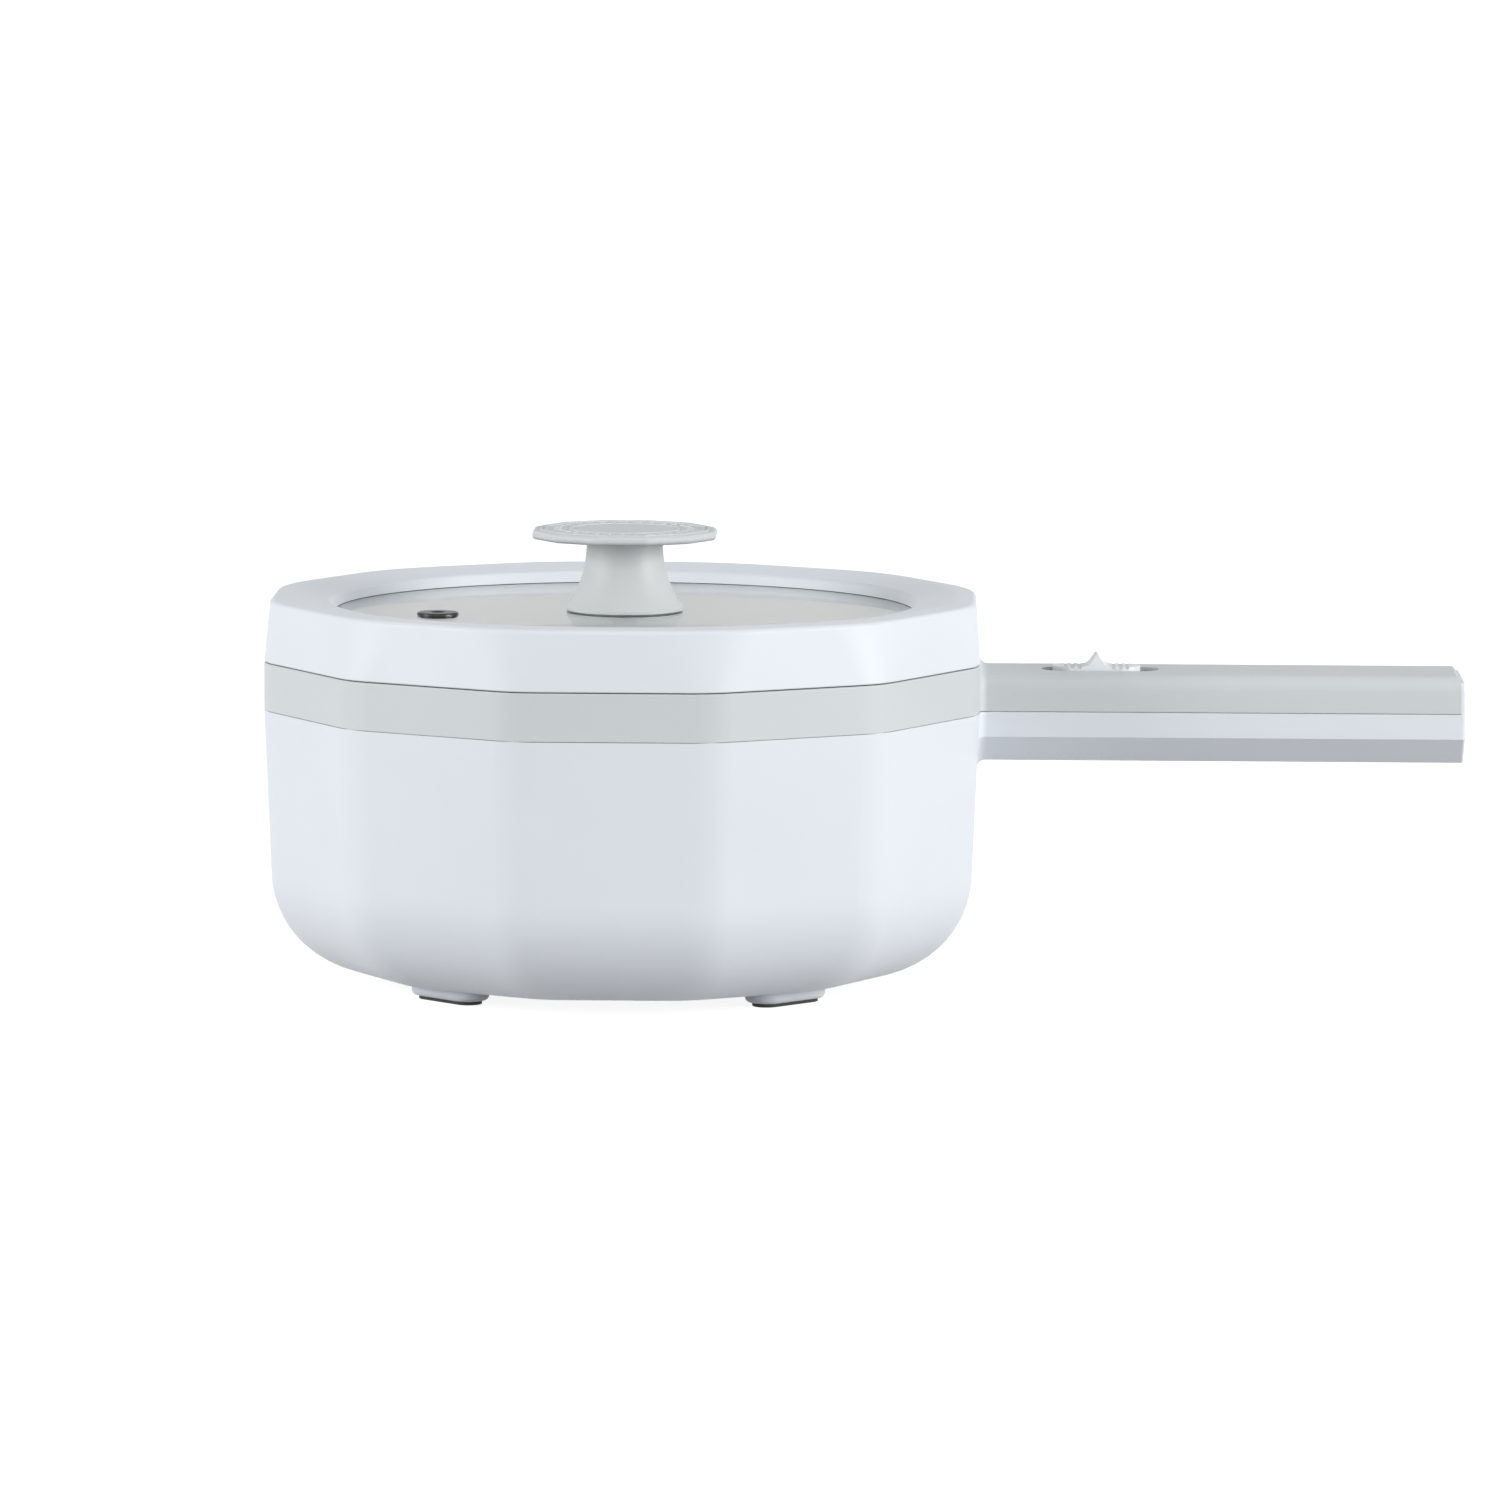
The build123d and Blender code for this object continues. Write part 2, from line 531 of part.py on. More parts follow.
with BuildPart() as upper_housing:
    extrude(facets(APOTHEM, SEAM, CORNER_R), amount=BAND_HEIGHT)
    fillet(upper_housing.edges().group_by(Axis.Z)[-1], EDGE_ROUND)
    extrude(
        handle_section(APOTHEM - WALL, 0, SEAM, HANDLE_TOP), amount=HANDLE_END - APOTHEM + WALL
    )
    fillet(junction(upper_housing, SEAM + 0.5, HANDLE_TOP + 0.5), HANDLE_FILLET)
    # rounding at the end of the handle's top face
    with BuildSketch(Plane.XZ.offset(-HANDLE_HALF)):
        with Locations((HANDLE_END - HANDLE_END_ROUND / 2, HANDLE_TOP - HANDLE_END_ROUND / 2)):
            Rectangle(HANDLE_END_ROUND, HANDLE_END_ROUND)
        with Locations((HANDLE_END - HANDLE_END_ROUND, HANDLE_TOP - HANDLE_END_ROUND)):
            Circle(HANDLE_END_ROUND, mode=Mode.SUBTRACT)
    extrude(amount=2 * HANDLE_HALF, mode=Mode.SUBTRACT)
    # hollow under the deck, the pot opening and the seat of the pot flange
    extrude(
        facets(APOTHEM - WALL, SEAM, CORNER_R - WALL), amount=DECK_TOP - WALL - SEAM,
        mode=Mode.SUBTRACT,
    )
    with BuildSketch(Plane.XY.offset(SEAM)):
        Circle(GASKET_INNER - SEAT_OVERHANG)
    extrude(amount=BAND_HEIGHT, mode=Mode.SUBTRACT)
    with BuildSketch(Plane.XY.offset(DECK_TOP)):
        Circle(FLANGE_R + SEAT_MARGIN)
    extrude(amount=BAND_TOP - DECK_TOP, mode=Mode.SUBTRACT)
    extrude(
        handle_section(HANDLE_ROOT, WALL, SEAM, HANDLE_TOP), amount=HANDLE_END - HANDLE_ROOT,
        mode=Mode.SUBTRACT,
    )
    # shadow line along the seam
    with BuildSketch(Plane.XY.offset(SEAM)):
        Rectangle(4 * HANDLE_END, 4 * APOTHEM)
        RegularPolygon(
            APOTHEM - SEAM_DEPTH, SIDES, major_radius=False, rotation=180 / SIDES,
            mode=Mode.SUBTRACT,
        )
        with Locations((HANDLE_END / 2 + APOTHEM / 2, 0)):
            Rectangle(HANDLE_END - APOTHEM + 6, 2 * (HANDLE_HALF - SEAM_DEPTH), mode=Mode.SUBTRACT)
    extrude(amount=SEAM_GROOVE, mode=Mode.SUBTRACT)
    # slot of the switch button
    with BuildSketch(Plane.XY.offset(HANDLE_ROOF)):
        with Locations((SLOT_X, 0)):
            SlotOverall(SLOT_LENGTH, SLOT_WIDTH)
    extrude(amount=WALL, mode=Mode.SUBTRACT)
    # bosses for the switch and handle screws, ribs over the inlet
    with BuildSketch(Plane.XY.offset(SWITCH_TOP)):
        with Locations((SLOT_X - EAR_SCREW_PITCH / 2, 0), (SLOT_X + EAR_SCREW_PITCH / 2, 0)):
            Circle(STRAP_BOSS_R)
    extrude(amount=HANDLE_ROOF + WALL / 2 - SWITCH_TOP)
    with BuildSketch(Plane.XY.offset(SWITCH_TOP)):
        with Locations((SLOT_X - EAR_SCREW_PITCH / 2, 0), (SLOT_X + EAR_SCREW_PITCH / 2, 0)):
            Circle(SMALL_SCREW_R + THREAD_CLEARANCE)
    extrude(amount=HANDLE_ROOF - SWITCH_TOP, mode=Mode.SUBTRACT)
    with BuildSketch(Plane.XY.offset(BOSS_JOINT)):
        with Locations((HANDLE_SCREW_X, 0), (HANDLE_SCREW_X + HANDLE_SCREW_PITCH, 0)):
            Circle(HANDLE_BOSS_R)
    extrude(amount=HANDLE_ROOF + WALL / 2 - BOSS_JOINT)
    with BuildSketch(Plane.XY.offset(BOSS_JOINT)):
        with Locations((HANDLE_SCREW_X, 0), (HANDLE_SCREW_X + HANDLE_SCREW_PITCH, 0)):
            Circle(HANDLE_SCREW_R + THREAD_CLEARANCE)
    extrude(amount=PILOT_DEPTH, mode=Mode.SUBTRACT)
    with BuildSketch(Plane.XY.offset(INLET_Z + INLET_HEIGHT / 2)):
        with Locations((INLET_X + INLET_RIB_INSET, 0), (HANDLE_END - INLET_RIB_INSET, 0)):
            Rectangle(RIB_THICKNESS, INLET_RIB_WIDTH)
    extrude(amount=HANDLE_ROOF + WALL / 2 - INLET_Z - INLET_HEIGHT / 2)

# ---------------------------------------------------------------- inner pot

with BuildPart() as inner_pot:
    with BuildSketch(Plane.XZ):
        with BuildLine() as pot_line:
            FilletPolyline(
                (0, POT_BASE + POT_WALL / 2),
                (POT_BASE_R, POT_BASE + POT_WALL / 2),
                (POT_TOP_R, FLANGE_TOP - POT_WALL / 2),
                (FLANGE_R, FLANGE_TOP - POT_WALL / 2),
                radius=(POT_CORNER_R, POT_LIP_R),
            )
        trace(line_width=POT_WALL)
    revolve(axis=Axis.Z)

with BuildPart() as pot_gasket:
    with BuildSketch(Plane.XY.offset(DECK_TOP)):
        Circle(GASKET_OUTER)
        Circle(GASKET_INNER, mode=Mode.SUBTRACT)
    extrude(amount=GASKET_THICKNESS)

# ---------------------------------------------------------------- heater


def post_places():
    return PolarLocations(POST_PLACE_R, 3, start_angle=30)


STRAP_TOP = PLATE_BASE - THERMOSTAT_CUP
FUSE_Z = PLATE_BASE - FUSE_R
FUSE_EAR_Y = FUSE_Y - FUSE_EAR
FUSE_BOSS = 2.0

with BuildPart() as heating_plate:
    with BuildSketch(Plane.XY.offset(PLATE_BASE)):
        Circle(PLATE_R)
    extrude(amount=PLATE_THICKNESS)
    with BuildSketch(Plane.XY.offset(TUBE_Z)):
        Circle(TUBE_RING_R + RIB_HALF)
        Circle(TUBE_RING_R - RIB_HALF, mode=Mode.SUBTRACT)
        with Locations((TUBE_RING_R, 0)):
            Rectangle(4 * RIB_HALF, 2 * RIB_OPENING, mode=Mode.SUBTRACT)
    extrude(amount=TUBE_DROP)
    with BuildSketch(Plane.XY.offset(SHIELD_TOP)):
        with post_places():
            Circle(POST_R)
    extrude(amount=POST_HEIGHT)
    with BuildSketch(Plane.XY.offset(SHIELD_TOP - STUD_LENGTH)):
        with post_places():
            Circle(STUD_R)
    extrude(amount=STUD_LENGTH)
    with BuildSketch(Plane.XY.offset(STRAP_TOP)):
        with Locations((0, STRAP_SCREW_Y), (0, -STRAP_SCREW_Y)):
            Circle(STRAP_BOSS_R)
    extrude(amount=THERMOSTAT_CUP)
    with BuildSketch(Plane.XY.offset(PLATE_BASE - FUSE_BOSS)):
        with Locations((FUSE_X, FUSE_EAR_Y)):
            Circle(STRAP_BOSS_R)
    extrude(amount=FUSE_BOSS)
    with BuildSketch(Plane.XY.offset(STRAP_TOP)):
        with Locations((0, STRAP_SCREW_Y), (0, -STRAP_SCREW_Y), (FUSE_X, FUSE_EAR_Y)):
            Circle(SMALL_SCREW_R + THREAD_CLEARANCE)
    extrude(amount=THERMOSTAT_CUP + PLATE_THICKNESS / 2, mode=Mode.SUBTRACT)
    add(tube_form(TUBE_R + TUBE_CLEARANCE), mode=Mode.SUBTRACT)

with BuildPart() as heating_tube:
    add(tube_form(TUBE_R))

# both ends of the tube lie at the same x and at plus and minus this y
TAIL = heating_tube.faces().filter_by(GeomType.PLANE).sort_by(Axis.X)[-1].center()
TAIL_X = TAIL.X
TAIL_Y = abs(TAIL.Y)

with BuildPart() as terminal_beads:
    for side in (1, -1):
        with BuildSketch(Plane.YZ.offset(TAIL_X)):
            with Locations((side * TAIL_Y, TUBE_Z)):
                Circle(BEAD_R)
                Circle(PIN_R + TUBE_CLEARANCE, mode=Mode.SUBTRACT)
    extrude(amount=BEAD_LENGTH)

with BuildPart() as heater_pins:
    for side in (1, -1):
        with BuildSketch(Plane.YZ.offset(TAIL_X)):
            with Locations((side * TAIL_Y, TUBE_Z)):
                Circle(PIN_R)
    extrude(amount=PIN_LENGTH)

with BuildPart() as thermostat:
    with BuildSketch(Plane.XY.offset(STRAP_TOP)):
        Circle(THERMOSTAT_R)
    extrude(amount=THERMOSTAT_CUP)
    with BuildSketch(Plane.XY.offset(STRAP_TOP)):
        Circle(THERMOSTAT_BODY_R)
    extrude(amount=-THERMOSTAT_BODY)
    fillet(thermostat.edges().group_by(Axis.Z)[-1], 0.6)

THERMOSTAT_BASE = STRAP_TOP - THERMOSTAT_BODY
THERMOSTAT_TAB = 7.0
TAB_Z = THERMOSTAT_BASE + 4.0

with BuildPart() as thermostat_tabs:
    for side in (1, -1):
        with BuildSketch(Plane.XY.offset(TAB_Z)):
            with Locations((side * (THERMOSTAT_BODY_R + THERMOSTAT_TAB / 2 - 0.2), 0)):
                Rectangle(THERMOSTAT_TAB, TAB_WIDTH)
    extrude(amount=TAB_THICKNESS)
    with BuildSketch(Plane.XY.offset(TAB_Z)):
        Circle(THERMOSTAT_BODY_R)
    extrude(amount=TAB_THICKNESS, mode=Mode.SUBTRACT)

with BuildPart() as thermostat_strap:
    with BuildSketch(Plane.XY.offset(STRAP_TOP)):
        SlotOverall(2 * STRAP_HALF, STRAP_WIDTH, rotation=90)
        Circle(THERMOSTAT_R + 1.6)
        Circle(THERMOSTAT_BODY_R + 0.1, mode=Mode.SUBTRACT)
        with Locations((0, STRAP_SCREW_Y), (0, -STRAP_SCREW_Y)):
            Circle(SMALL_SCREW_R + THREAD_CLEARANCE, mode=Mode.SUBTRACT)
    extrude(amount=-STRAP_THICKNESS)

with BuildPart() as thermostat_screws:
    strap_base = STRAP_TOP - STRAP_THICKNESS
    with BuildSketch(Plane.XY.offset(strap_base - SMALL_HEAD_HEIGHT)):
        with Locations((0, STRAP_SCREW_Y), (0, -STRAP_SCREW_Y)):
            Circle(SMALL_HEAD_R)
    extrude(amount=SMALL_HEAD_HEIGHT)
    with BuildSketch(Plane.XY.offset(strap_base)):
        with Locations((0, STRAP_SCREW_Y), (0, -STRAP_SCREW_Y)):
            Circle(SMALL_SCREW_R)
    extrude(amount=THERMOSTAT_CUP)

with BuildPart() as thermal_fuse:
    with BuildSketch(Plane.YZ.offset(FUSE_X - FUSE_LENGTH / 2)):
        with Locations((FUSE_Y, FUSE_Z)):
            Circle(FUSE_R)
    extrude(amount=FUSE_LENGTH)
    fillet(thermal_fuse.edges(), 0.6)

with BuildPart() as fuse_clamp:
    with BuildSketch(Plane.YZ.offset(FUSE_X - 3)):
        with Locations((FUSE_Y, FUSE_Z)):
            Circle(FUSE_R + 0.8)
        with Locations((FUSE_Y - FUSE_EAR / 2 - 0.5, PLATE_BASE - FUSE_BOSS - 0.4)):
            Rectangle(FUSE_EAR + 4, 0.8)
        with Locations((FUSE_Y, PLATE_BASE + PLATE_THICKNESS)):
            Rectangle(4 * FUSE_EAR, 2 * PLATE_THICKNESS, mode=Mode.SUBTRACT)
        with Locations((FUSE_Y, FUSE_Z)):
            Circle(FUSE_R + 0.02, mode=Mode.SUBTRACT)
    extrude(amount=6)
    with BuildSketch(Plane.XY.offset(PLATE_BASE - FUSE_BOSS - 2)):
        with Locations((FUSE_X, FUSE_EAR_Y)):
            Circle(SMALL_SCREW_R + THREAD_CLEARANCE)
    extrude(amount=4, mode=Mode.SUBTRACT)

with BuildPart() as fuse_screw:
    ear_base = PLATE_BASE - FUSE_BOSS - 0.8
    with BuildSketch(Plane.XY.offset(ear_base - SMALL_HEAD_HEIGHT)):
        with Locations((FUSE_X, FUSE_EAR_Y)):
            Circle(SMALL_HEAD_R)
    extrude(amount=SMALL_HEAD_HEIGHT)
    with BuildSketch(Plane.XY.offset(ear_base)):
        with Locations((FUSE_X, FUSE_EAR_Y)):
            Circle(SMALL_SCREW_R)
    extrude(amount=FUSE_BOSS + 2)

# ---------------------------------------------------------------- heat shield and fixings

EARTH_INSET = 14.0          # earth screw inside the shield's edge
EARTH_X = SHIELD_R - EARTH_INSET

with BuildPart() as heat_shield:
    with BuildSketch(Plane.XY.offset(SHIELD_BASE)):
        Circle(SHIELD_R)
    extrude(amount=SHIELD_THICKNESS + SHIELD_RIM)
    with BuildSketch(Plane.XY.offset(SHIELD_TOP)):
        Circle(SHIELD_R - SHIELD_THICKNESS)
    extrude(amount=SHIELD_RIM, mode=Mode.SUBTRACT)
    with BuildSketch(Plane.XY.offset(SHIELD_BASE)):
        Circle(SHIELD_HOLE_R)
        with post_places():
            Circle(STUD_R + THREAD_CLEARANCE)
        with foot_places():
            Circle(FOOT_SCREW_R + THREAD_CLEARANCE)
        with Locations((EARTH_X, 0)):
            Circle(FOOT_SCREW_R + THREAD_CLEARANCE)
    extrude(amount=SHIELD_THICKNESS, mode=Mode.SUBTRACT)

with BuildPart() as shield_nuts:
    with BuildSketch(Plane.XY.offset(SHIELD_BASE - NUT_HEIGHT)):
        with post_places():
            RegularPolygon(NUT_HALF, 6, major_radius=False)
        with post_places():
            Circle(STUD_R + THREAD_CLEARANCE, mode=Mode.SUBTRACT)
    extrude(amount=NUT_HEIGHT)

with BuildPart() as clinch_nuts:
    with BuildSketch(Plane.XY.offset(SHIELD_TOP)):
        with foot_places():
            Circle(CLINCH_R)
        with foot_places():
            Circle(FOOT_SCREW_R + THREAD_CLEARANCE, mode=Mode.SUBTRACT)
    extrude(amount=CLINCH_HEIGHT)

FOOT_HEAD_BASE = PAD_THICKNESS + HEAD_CLEARANCE

with BuildPart() as foot_screws:
    with BuildSketch(Plane.XY.offset(FOOT_HEAD_BASE)):
        with foot_places():
            Circle(FOOT_HEAD_R)
    extrude(amount=FOOT_HEAD_HEIGHT)
    with BuildSketch(Plane.XY.offset(FOOT_HEAD_BASE + FOOT_HEAD_HEIGHT)):
        with foot_places():
            Circle(FOOT_SCREW_R)
    extrude(amount=SHIELD_TOP + CLINCH_HEIGHT - FOOT_HEAD_BASE - FOOT_HEAD_HEIGHT)

with BuildPart() as foot_pads:
    with BuildSketch():
        with foot_places():
            SlotOverall(FOOT_LENGTH - 2 * PAD_INSET, FOOT_WIDTH - 2 * PAD_INSET, rotation=90)
    extrude(amount=PAD_THICKNESS)
    fillet(foot_pads.edges().group_by(Axis.Z)[0], PAD_ROUND)

EARTH_NUT = 2.4
EARTH_TAG = 0.8

with BuildPart() as earth_screw:
    with BuildSketch(Plane.XY.offset(SHIELD_BASE - EARTH_NUT)):
        with Locations((EARTH_X, 0)):
            RegularPolygon(NUT_HALF, 6, major_radius=False)
    extrude(amount=EARTH_NUT)
    with BuildSketch(Plane.XY.offset(SHIELD_BASE)):
        with Locations((EARTH_X, 0)):
            Circle(FOOT_SCREW_R)
    extrude(amount=SHIELD_THICKNESS + EARTH_TAG)
    with BuildSketch(Plane.XY.offset(SHIELD_TOP + EARTH_TAG)):
        with Locations((EARTH_X, 0)):
            Circle(FOOT_HEAD_R)
    extrude(amount=SMALL_HEAD_HEIGHT)

with BuildPart() as earth_tag:
    with BuildSketch(Plane.XY.offset(SHIELD_TOP)):
        with Locations((EARTH_X, 0)):
            Circle(FOOT_HEAD_R + 0.4)
        with Locations((EARTH_X + 5, 0)):
            Rectangle(5, TAB_WIDTH)
        with Locations((EARTH_X, 0)):
            Circle(FOOT_SCREW_R + THREAD_CLEARANCE, mode=Mode.SUBTRACT)
    extrude(amount=EARTH_TAG)
    # crimp barrel that takes the wire
    with BuildSketch(Plane.YZ.offset(EARTH_X + 5)):
        with Locations((0, SHIELD_TOP + WIRE_R + 0.4)):
            Circle(WIRE_R + 0.4)
    extrude(amount=2.5)

# ---------------------------------------------------------------- switch

with BuildPart() as switch_body:
    with BuildSketch(Plane.XY.offset(SWITCH_TOP - SWITCH_HEIGHT)):
        with Locations((SLOT_X, 0)):
            Rectangle(SWITCH_LENGTH, SWITCH_WIDTH)
    extrude(amount=SWITCH_HEIGHT)
    with BuildSketch(Plane.XY.offset(SWITCH_TOP)):
        with Locations((SLOT_X, 0)):
            SlotOverall(EAR_SCREW_PITCH + 2 * EAR_REACH, 2 * EAR_REACH)
    extrude(amount=-EAR_THICKNESS)
    with BuildSketch(Plane.XY.offset(SWITCH_TOP)):
        with Locations((SLOT_X - EAR_SCREW_PITCH / 2, 0), (SLOT_X + EAR_SCREW_PITCH / 2, 0)):
            Circle(SMALL_SCREW_R + THREAD_CLEARANCE)
    extrude(amount=-EAR_THICKNESS, mode=Mode.SUBTRACT)
    with BuildSketch(Plane.XY.offset(SWITCH_TOP)):
        with Locations((SLOT_X, 0)):
            Rectangle(CHANNEL_LENGTH, CHANNEL_WIDTH)
    extrude(amount=-CHANNEL_DEPTH, mode=Mode.SUBTRACT)

with BuildPart() as switch_tabs:
    for end in (-1, 1):
        with BuildSketch(Plane.XY.offset(SWITCH_TAB_Z)):
            with Locations((SLOT_X + end * (SWITCH_LENGTH + TAB_LENGTH) / 2, 0)):
                Rectangle(TAB_LENGTH, TAB_WIDTH)
    extrude(amount=TAB_THICKNESS)

with BuildPart() as switch_screws:
    with BuildSketch(Plane.XY.offset(SWITCH_TOP - EAR_THICKNESS)):
        with Locations((SLOT_X - EAR_SCREW_PITCH / 2, 0), (SLOT_X + EAR_SCREW_PITCH / 2, 0)):
            Circle(SMALL_HEAD_R)
    extrude(amount=-SMALL_HEAD_HEIGHT)
    with BuildSketch(Plane.XY.offset(SWITCH_TOP - EAR_THICKNESS)):
        with Locations((SLOT_X - EAR_SCREW_PITCH / 2, 0), (SLOT_X + EAR_SCREW_PITCH / 2, 0)):
            Circle(SMALL_SCREW_R)
    extrude(amount=EAR_THICKNESS + HANDLE_ROOF - SWITCH_TOP - 0.3)

with BuildPart() as slider_carriage:
    with BuildSketch(Plane.XY.offset(CARRIAGE_BASE)):
        with Locations((BUTTON_X, 0)):
            RectangleRounded(CARRIAGE_LENGTH, CARRIAGE_WIDTH, CARRIAGE_CORNER_R)
    extrude(amount=CARRIAGE_THICKNESS)
    with BuildSketch(Plane.XY.offset(CARRIAGE_BASE)):
        with Locations((BUTTON_X, 0)):
            Rectangle(DRIVE_LENGTH, DRIVE_WIDTH)
    extrude(amount=-DRIVE_DEPTH)

BUTTON_DECK = HANDLE_TOP + BUTTON_RISE

with BuildPart() as switch_button:
    with BuildSketch(Plane.XZ.offset(-BUTTON_WIDTH / 2)) as profile:
        with BuildLine():
            Polyline(
                (BUTTON_X - BUTTON_LENGTH / 2, CARRIAGE_TOP),
                (BUTTON_X - BUTTON_LENGTH / 2, BUTTON_DECK),
                (BUTTON_X - BUTTON_RIDGE_HALF, BUTTON_DECK),
                (BUTTON_X, BUTTON_DECK + BUTTON_RIDGE),
                (BUTTON_X + BUTTON_RIDGE_HALF, BUTTON_DECK),
                (BUTTON_X + BUTTON_LENGTH / 2, BUTTON_DECK),
                (BUTTON_X + BUTTON_LENGTH / 2, CARRIAGE_TOP),
                close=True,
            )
        make_face()
        fillet(profile.vertices().sort_by(Axis.Y)[-1], BUTTON_TIP_R)
        foot = profile.vertices().filter_by_position(
            Axis.X, BUTTON_X - BUTTON_RIDGE_HALF, BUTTON_X + BUTTON_RIDGE_HALF
        )
        fillet(foot.group_by(Axis.Y)[0], BUTTON_RIDGE_R)
    extrude(amount=BUTTON_WIDTH)
    with BuildSketch(Plane.XY.offset(BUTTON_DECK)):
        for end in (-1, 1):
            for groove in range(BUTTON_GROOVES):
                reach = BUTTON_GROOVE_START + BUTTON_GROOVE_PITCH * groove
                with Locations((BUTTON_X + end * reach, 0)):
                    Rectangle(BUTTON_GROOVE_WIDTH, BUTTON_WIDTH)
    extrude(amount=-BUTTON_GROOVE_DEPTH, mode=Mode.SUBTRACT)
    with BuildSketch(Plane.XY.offset(CARRIAGE_TOP)):
        with Locations((BUTTON_X, 0)):
            SlotOverall(BUTTON_LENGTH, BUTTON_WIDTH)
    extrude(amount=BUTTON_DECK + BUTTON_RIDGE - CARRIAGE_TOP, mode=Mode.INTERSECT)

# ---------------------------------------------------------------- handle fixings, inlet, end cap

with BuildPart() as handle_screws:
    with BuildSketch(Plane.XY.offset(HANDLE_BOTTOM + HANDLE_HEAD_SINK)):
        with Locations((HANDLE_SCREW_X, 0), (HANDLE_SCREW_X + HANDLE_SCREW_PITCH, 0)):
            Circle(HANDLE_HEAD_R)
    extrude(amount=-HANDLE_HEAD_HEIGHT)
    with BuildSketch(Plane.XY.offset(HANDLE_BOTTOM + HANDLE_HEAD_SINK)):
        with Locations((HANDLE_SCREW_X, 0), (HANDLE_SCREW_X + HANDLE_SCREW_PITCH, 0)):
            Circle(HANDLE_SCREW_R)
    extrude(amount=BOSS_JOINT + PILOT_DEPTH - 1 - HANDLE_BOTTOM - HANDLE_HEAD_SINK)

PIN_PLACES = [
    (-PIN_SPREAD, INLET_Z + LINE_PIN_RISE),
    (PIN_SPREAD, INLET_Z + LINE_PIN_RISE),
    (0, INLET_Z - EARTH_PIN_DROP),
]

with BuildPart() as inlet_body:
    with BuildSketch(Plane.YZ.offset(INLET_X)):
        with Locations((0, INLET_Z)):
            RectangleRounded(INLET_WIDTH, INLET_HEIGHT, INLET_CORNER_R)
    extrude(amount=INLET_LENGTH)
    with BuildSketch(Plane.YZ.offset(HANDLE_END - SOCKET_DEPTH)):
        with Locations((0, INLET_Z)):
            RectangleRounded(SOCKET_WIDTH, SOCKET_HEIGHT, SOCKET_ROUND)
    extrude(amount=SOCKET_DEPTH, mode=Mode.SUBTRACT)
    with BuildSketch(Plane.YZ.offset(INLET_X)):
        with Locations(*PIN_PLACES):
            Circle(INLET_PIN_R + THREAD_CLEARANCE)
    extrude(amount=INLET_LENGTH, mode=Mode.SUBTRACT)

with BuildPart() as inlet_pins:
    with BuildSketch(Plane.YZ.offset(INLET_X - INLET_TAIL)):
        with Locations(*PIN_PLACES):
            Circle(INLET_PIN_R)
    extrude(amount=INLET_TAIL + INLET_LENGTH - SOCKET_DEPTH + INLET_PIN_LENGTH)

with BuildPart() as end_cap:
    extrude(
        handle_section(HANDLE_END, 0, HANDLE_BOTTOM, HANDLE_TOP - HANDLE_END_ROUND),
        amount=CAP_THICKNESS,
    )
    fillet(end_cap.edges().group_by(Axis.X)[-1], CAP_EDGE)
    with BuildSketch(Plane.YZ.offset(HANDLE_END - CAP_TAB)):
        for side in (-1, 1):
            with Locations((side * (HANDLE_INNER - CAP_TAB_GAP - RIB_THICKNESS / 2), SEAM)):
                Rectangle(RIB_THICKNESS, CAP_TAB_HEIGHT)
    extrude(amount=CAP_TAB)
    with BuildSketch(Plane.YZ.offset(HANDLE_END)):
        with Locations((0, INLET_Z)):
            RectangleRounded(SOCKET_WIDTH, SOCKET_HEIGHT, SOCKET_ROUND)
    extrude(amount=CAP_THICKNESS, mode=Mode.SUBTRACT)

# ---------------------------------------------------------------- wires

# the wires drop beside the pot, between its wall and the housing
DROP_X = APOTHEM - 8.5
DROP_TOP = SEAM - 8.0
DROP_LOW = SHIELD_TOP + 22.0
RUN_Z = SHIELD_TOP + WIRE_R + 0.4
HANDLE_RUN_Z = SEAM - 3.0
EARTH_RUN_Z = HANDLE_FLOOR + WIRE_R + 1.2
HANDLE_RUN_Y = 10.4
COMB_Z = (DROP_TOP + DROP_LOW) / 2 + 4
INLET_REAR = INLET_X - INLET_TAIL
LINE_Z = INLET_Z + LINE_PIN_RISE
TAB_FRONT_X = SLOT_X - SWITCH_LENGTH / 2 - TAB_LENGTH
TAB_REAR_X = SLOT_X + SWITCH_LENGTH / 2 + TAB_LENGTH
TAB_MIDDLE_Z = SWITCH_TAB_Z + TAB_THICKNESS / 2
HOT_Y = 1.5 * WIRE_PITCH
EARTH_Y = 0.5 * WIRE_PITCH
NEUTRAL_Y = -0.5 * WIRE_PITCH
PIN_TIP = TAIL_X + PIN_LENGTH
TAB_TIP = THERMOSTAT_BODY_R + THERMOSTAT_TAB - 0.2
THERMOSTAT_TAB_Z = TAB_Z + TAB_THICKNESS / 2
EARTH_TIP = EARTH_X + 7.5
EARTH_PIN_Z = INLET_Z - EARTH_PIN_DROP
TAB_OFFSET = 1.0
LEAD = 4.0                      # straight run at each terminal

with BuildPart() as wire_live:
    add(wire_form(
        (INLET_REAR, PIN_SPREAD, LINE_Z),
        (INLET_REAR - LEAD, PIN_SPREAD, LINE_Z),
        (INLET_REAR - 18, HANDLE_RUN_Y, HANDLE_RUN_Z),
        (TAB_REAR_X + 22, HANDLE_RUN_Y, HANDLE_RUN_Z),
        (TAB_REAR_X + 13, HANDLE_RUN_Y - 1.5, TAB_MIDDLE_Z - 0.6),
        (TAB_REAR_X + LEAD, TAB_OFFSET, TAB_MIDDLE_Z),
        (TAB_REAR_X, TAB_OFFSET, TAB_MIDDLE_Z),
    ))

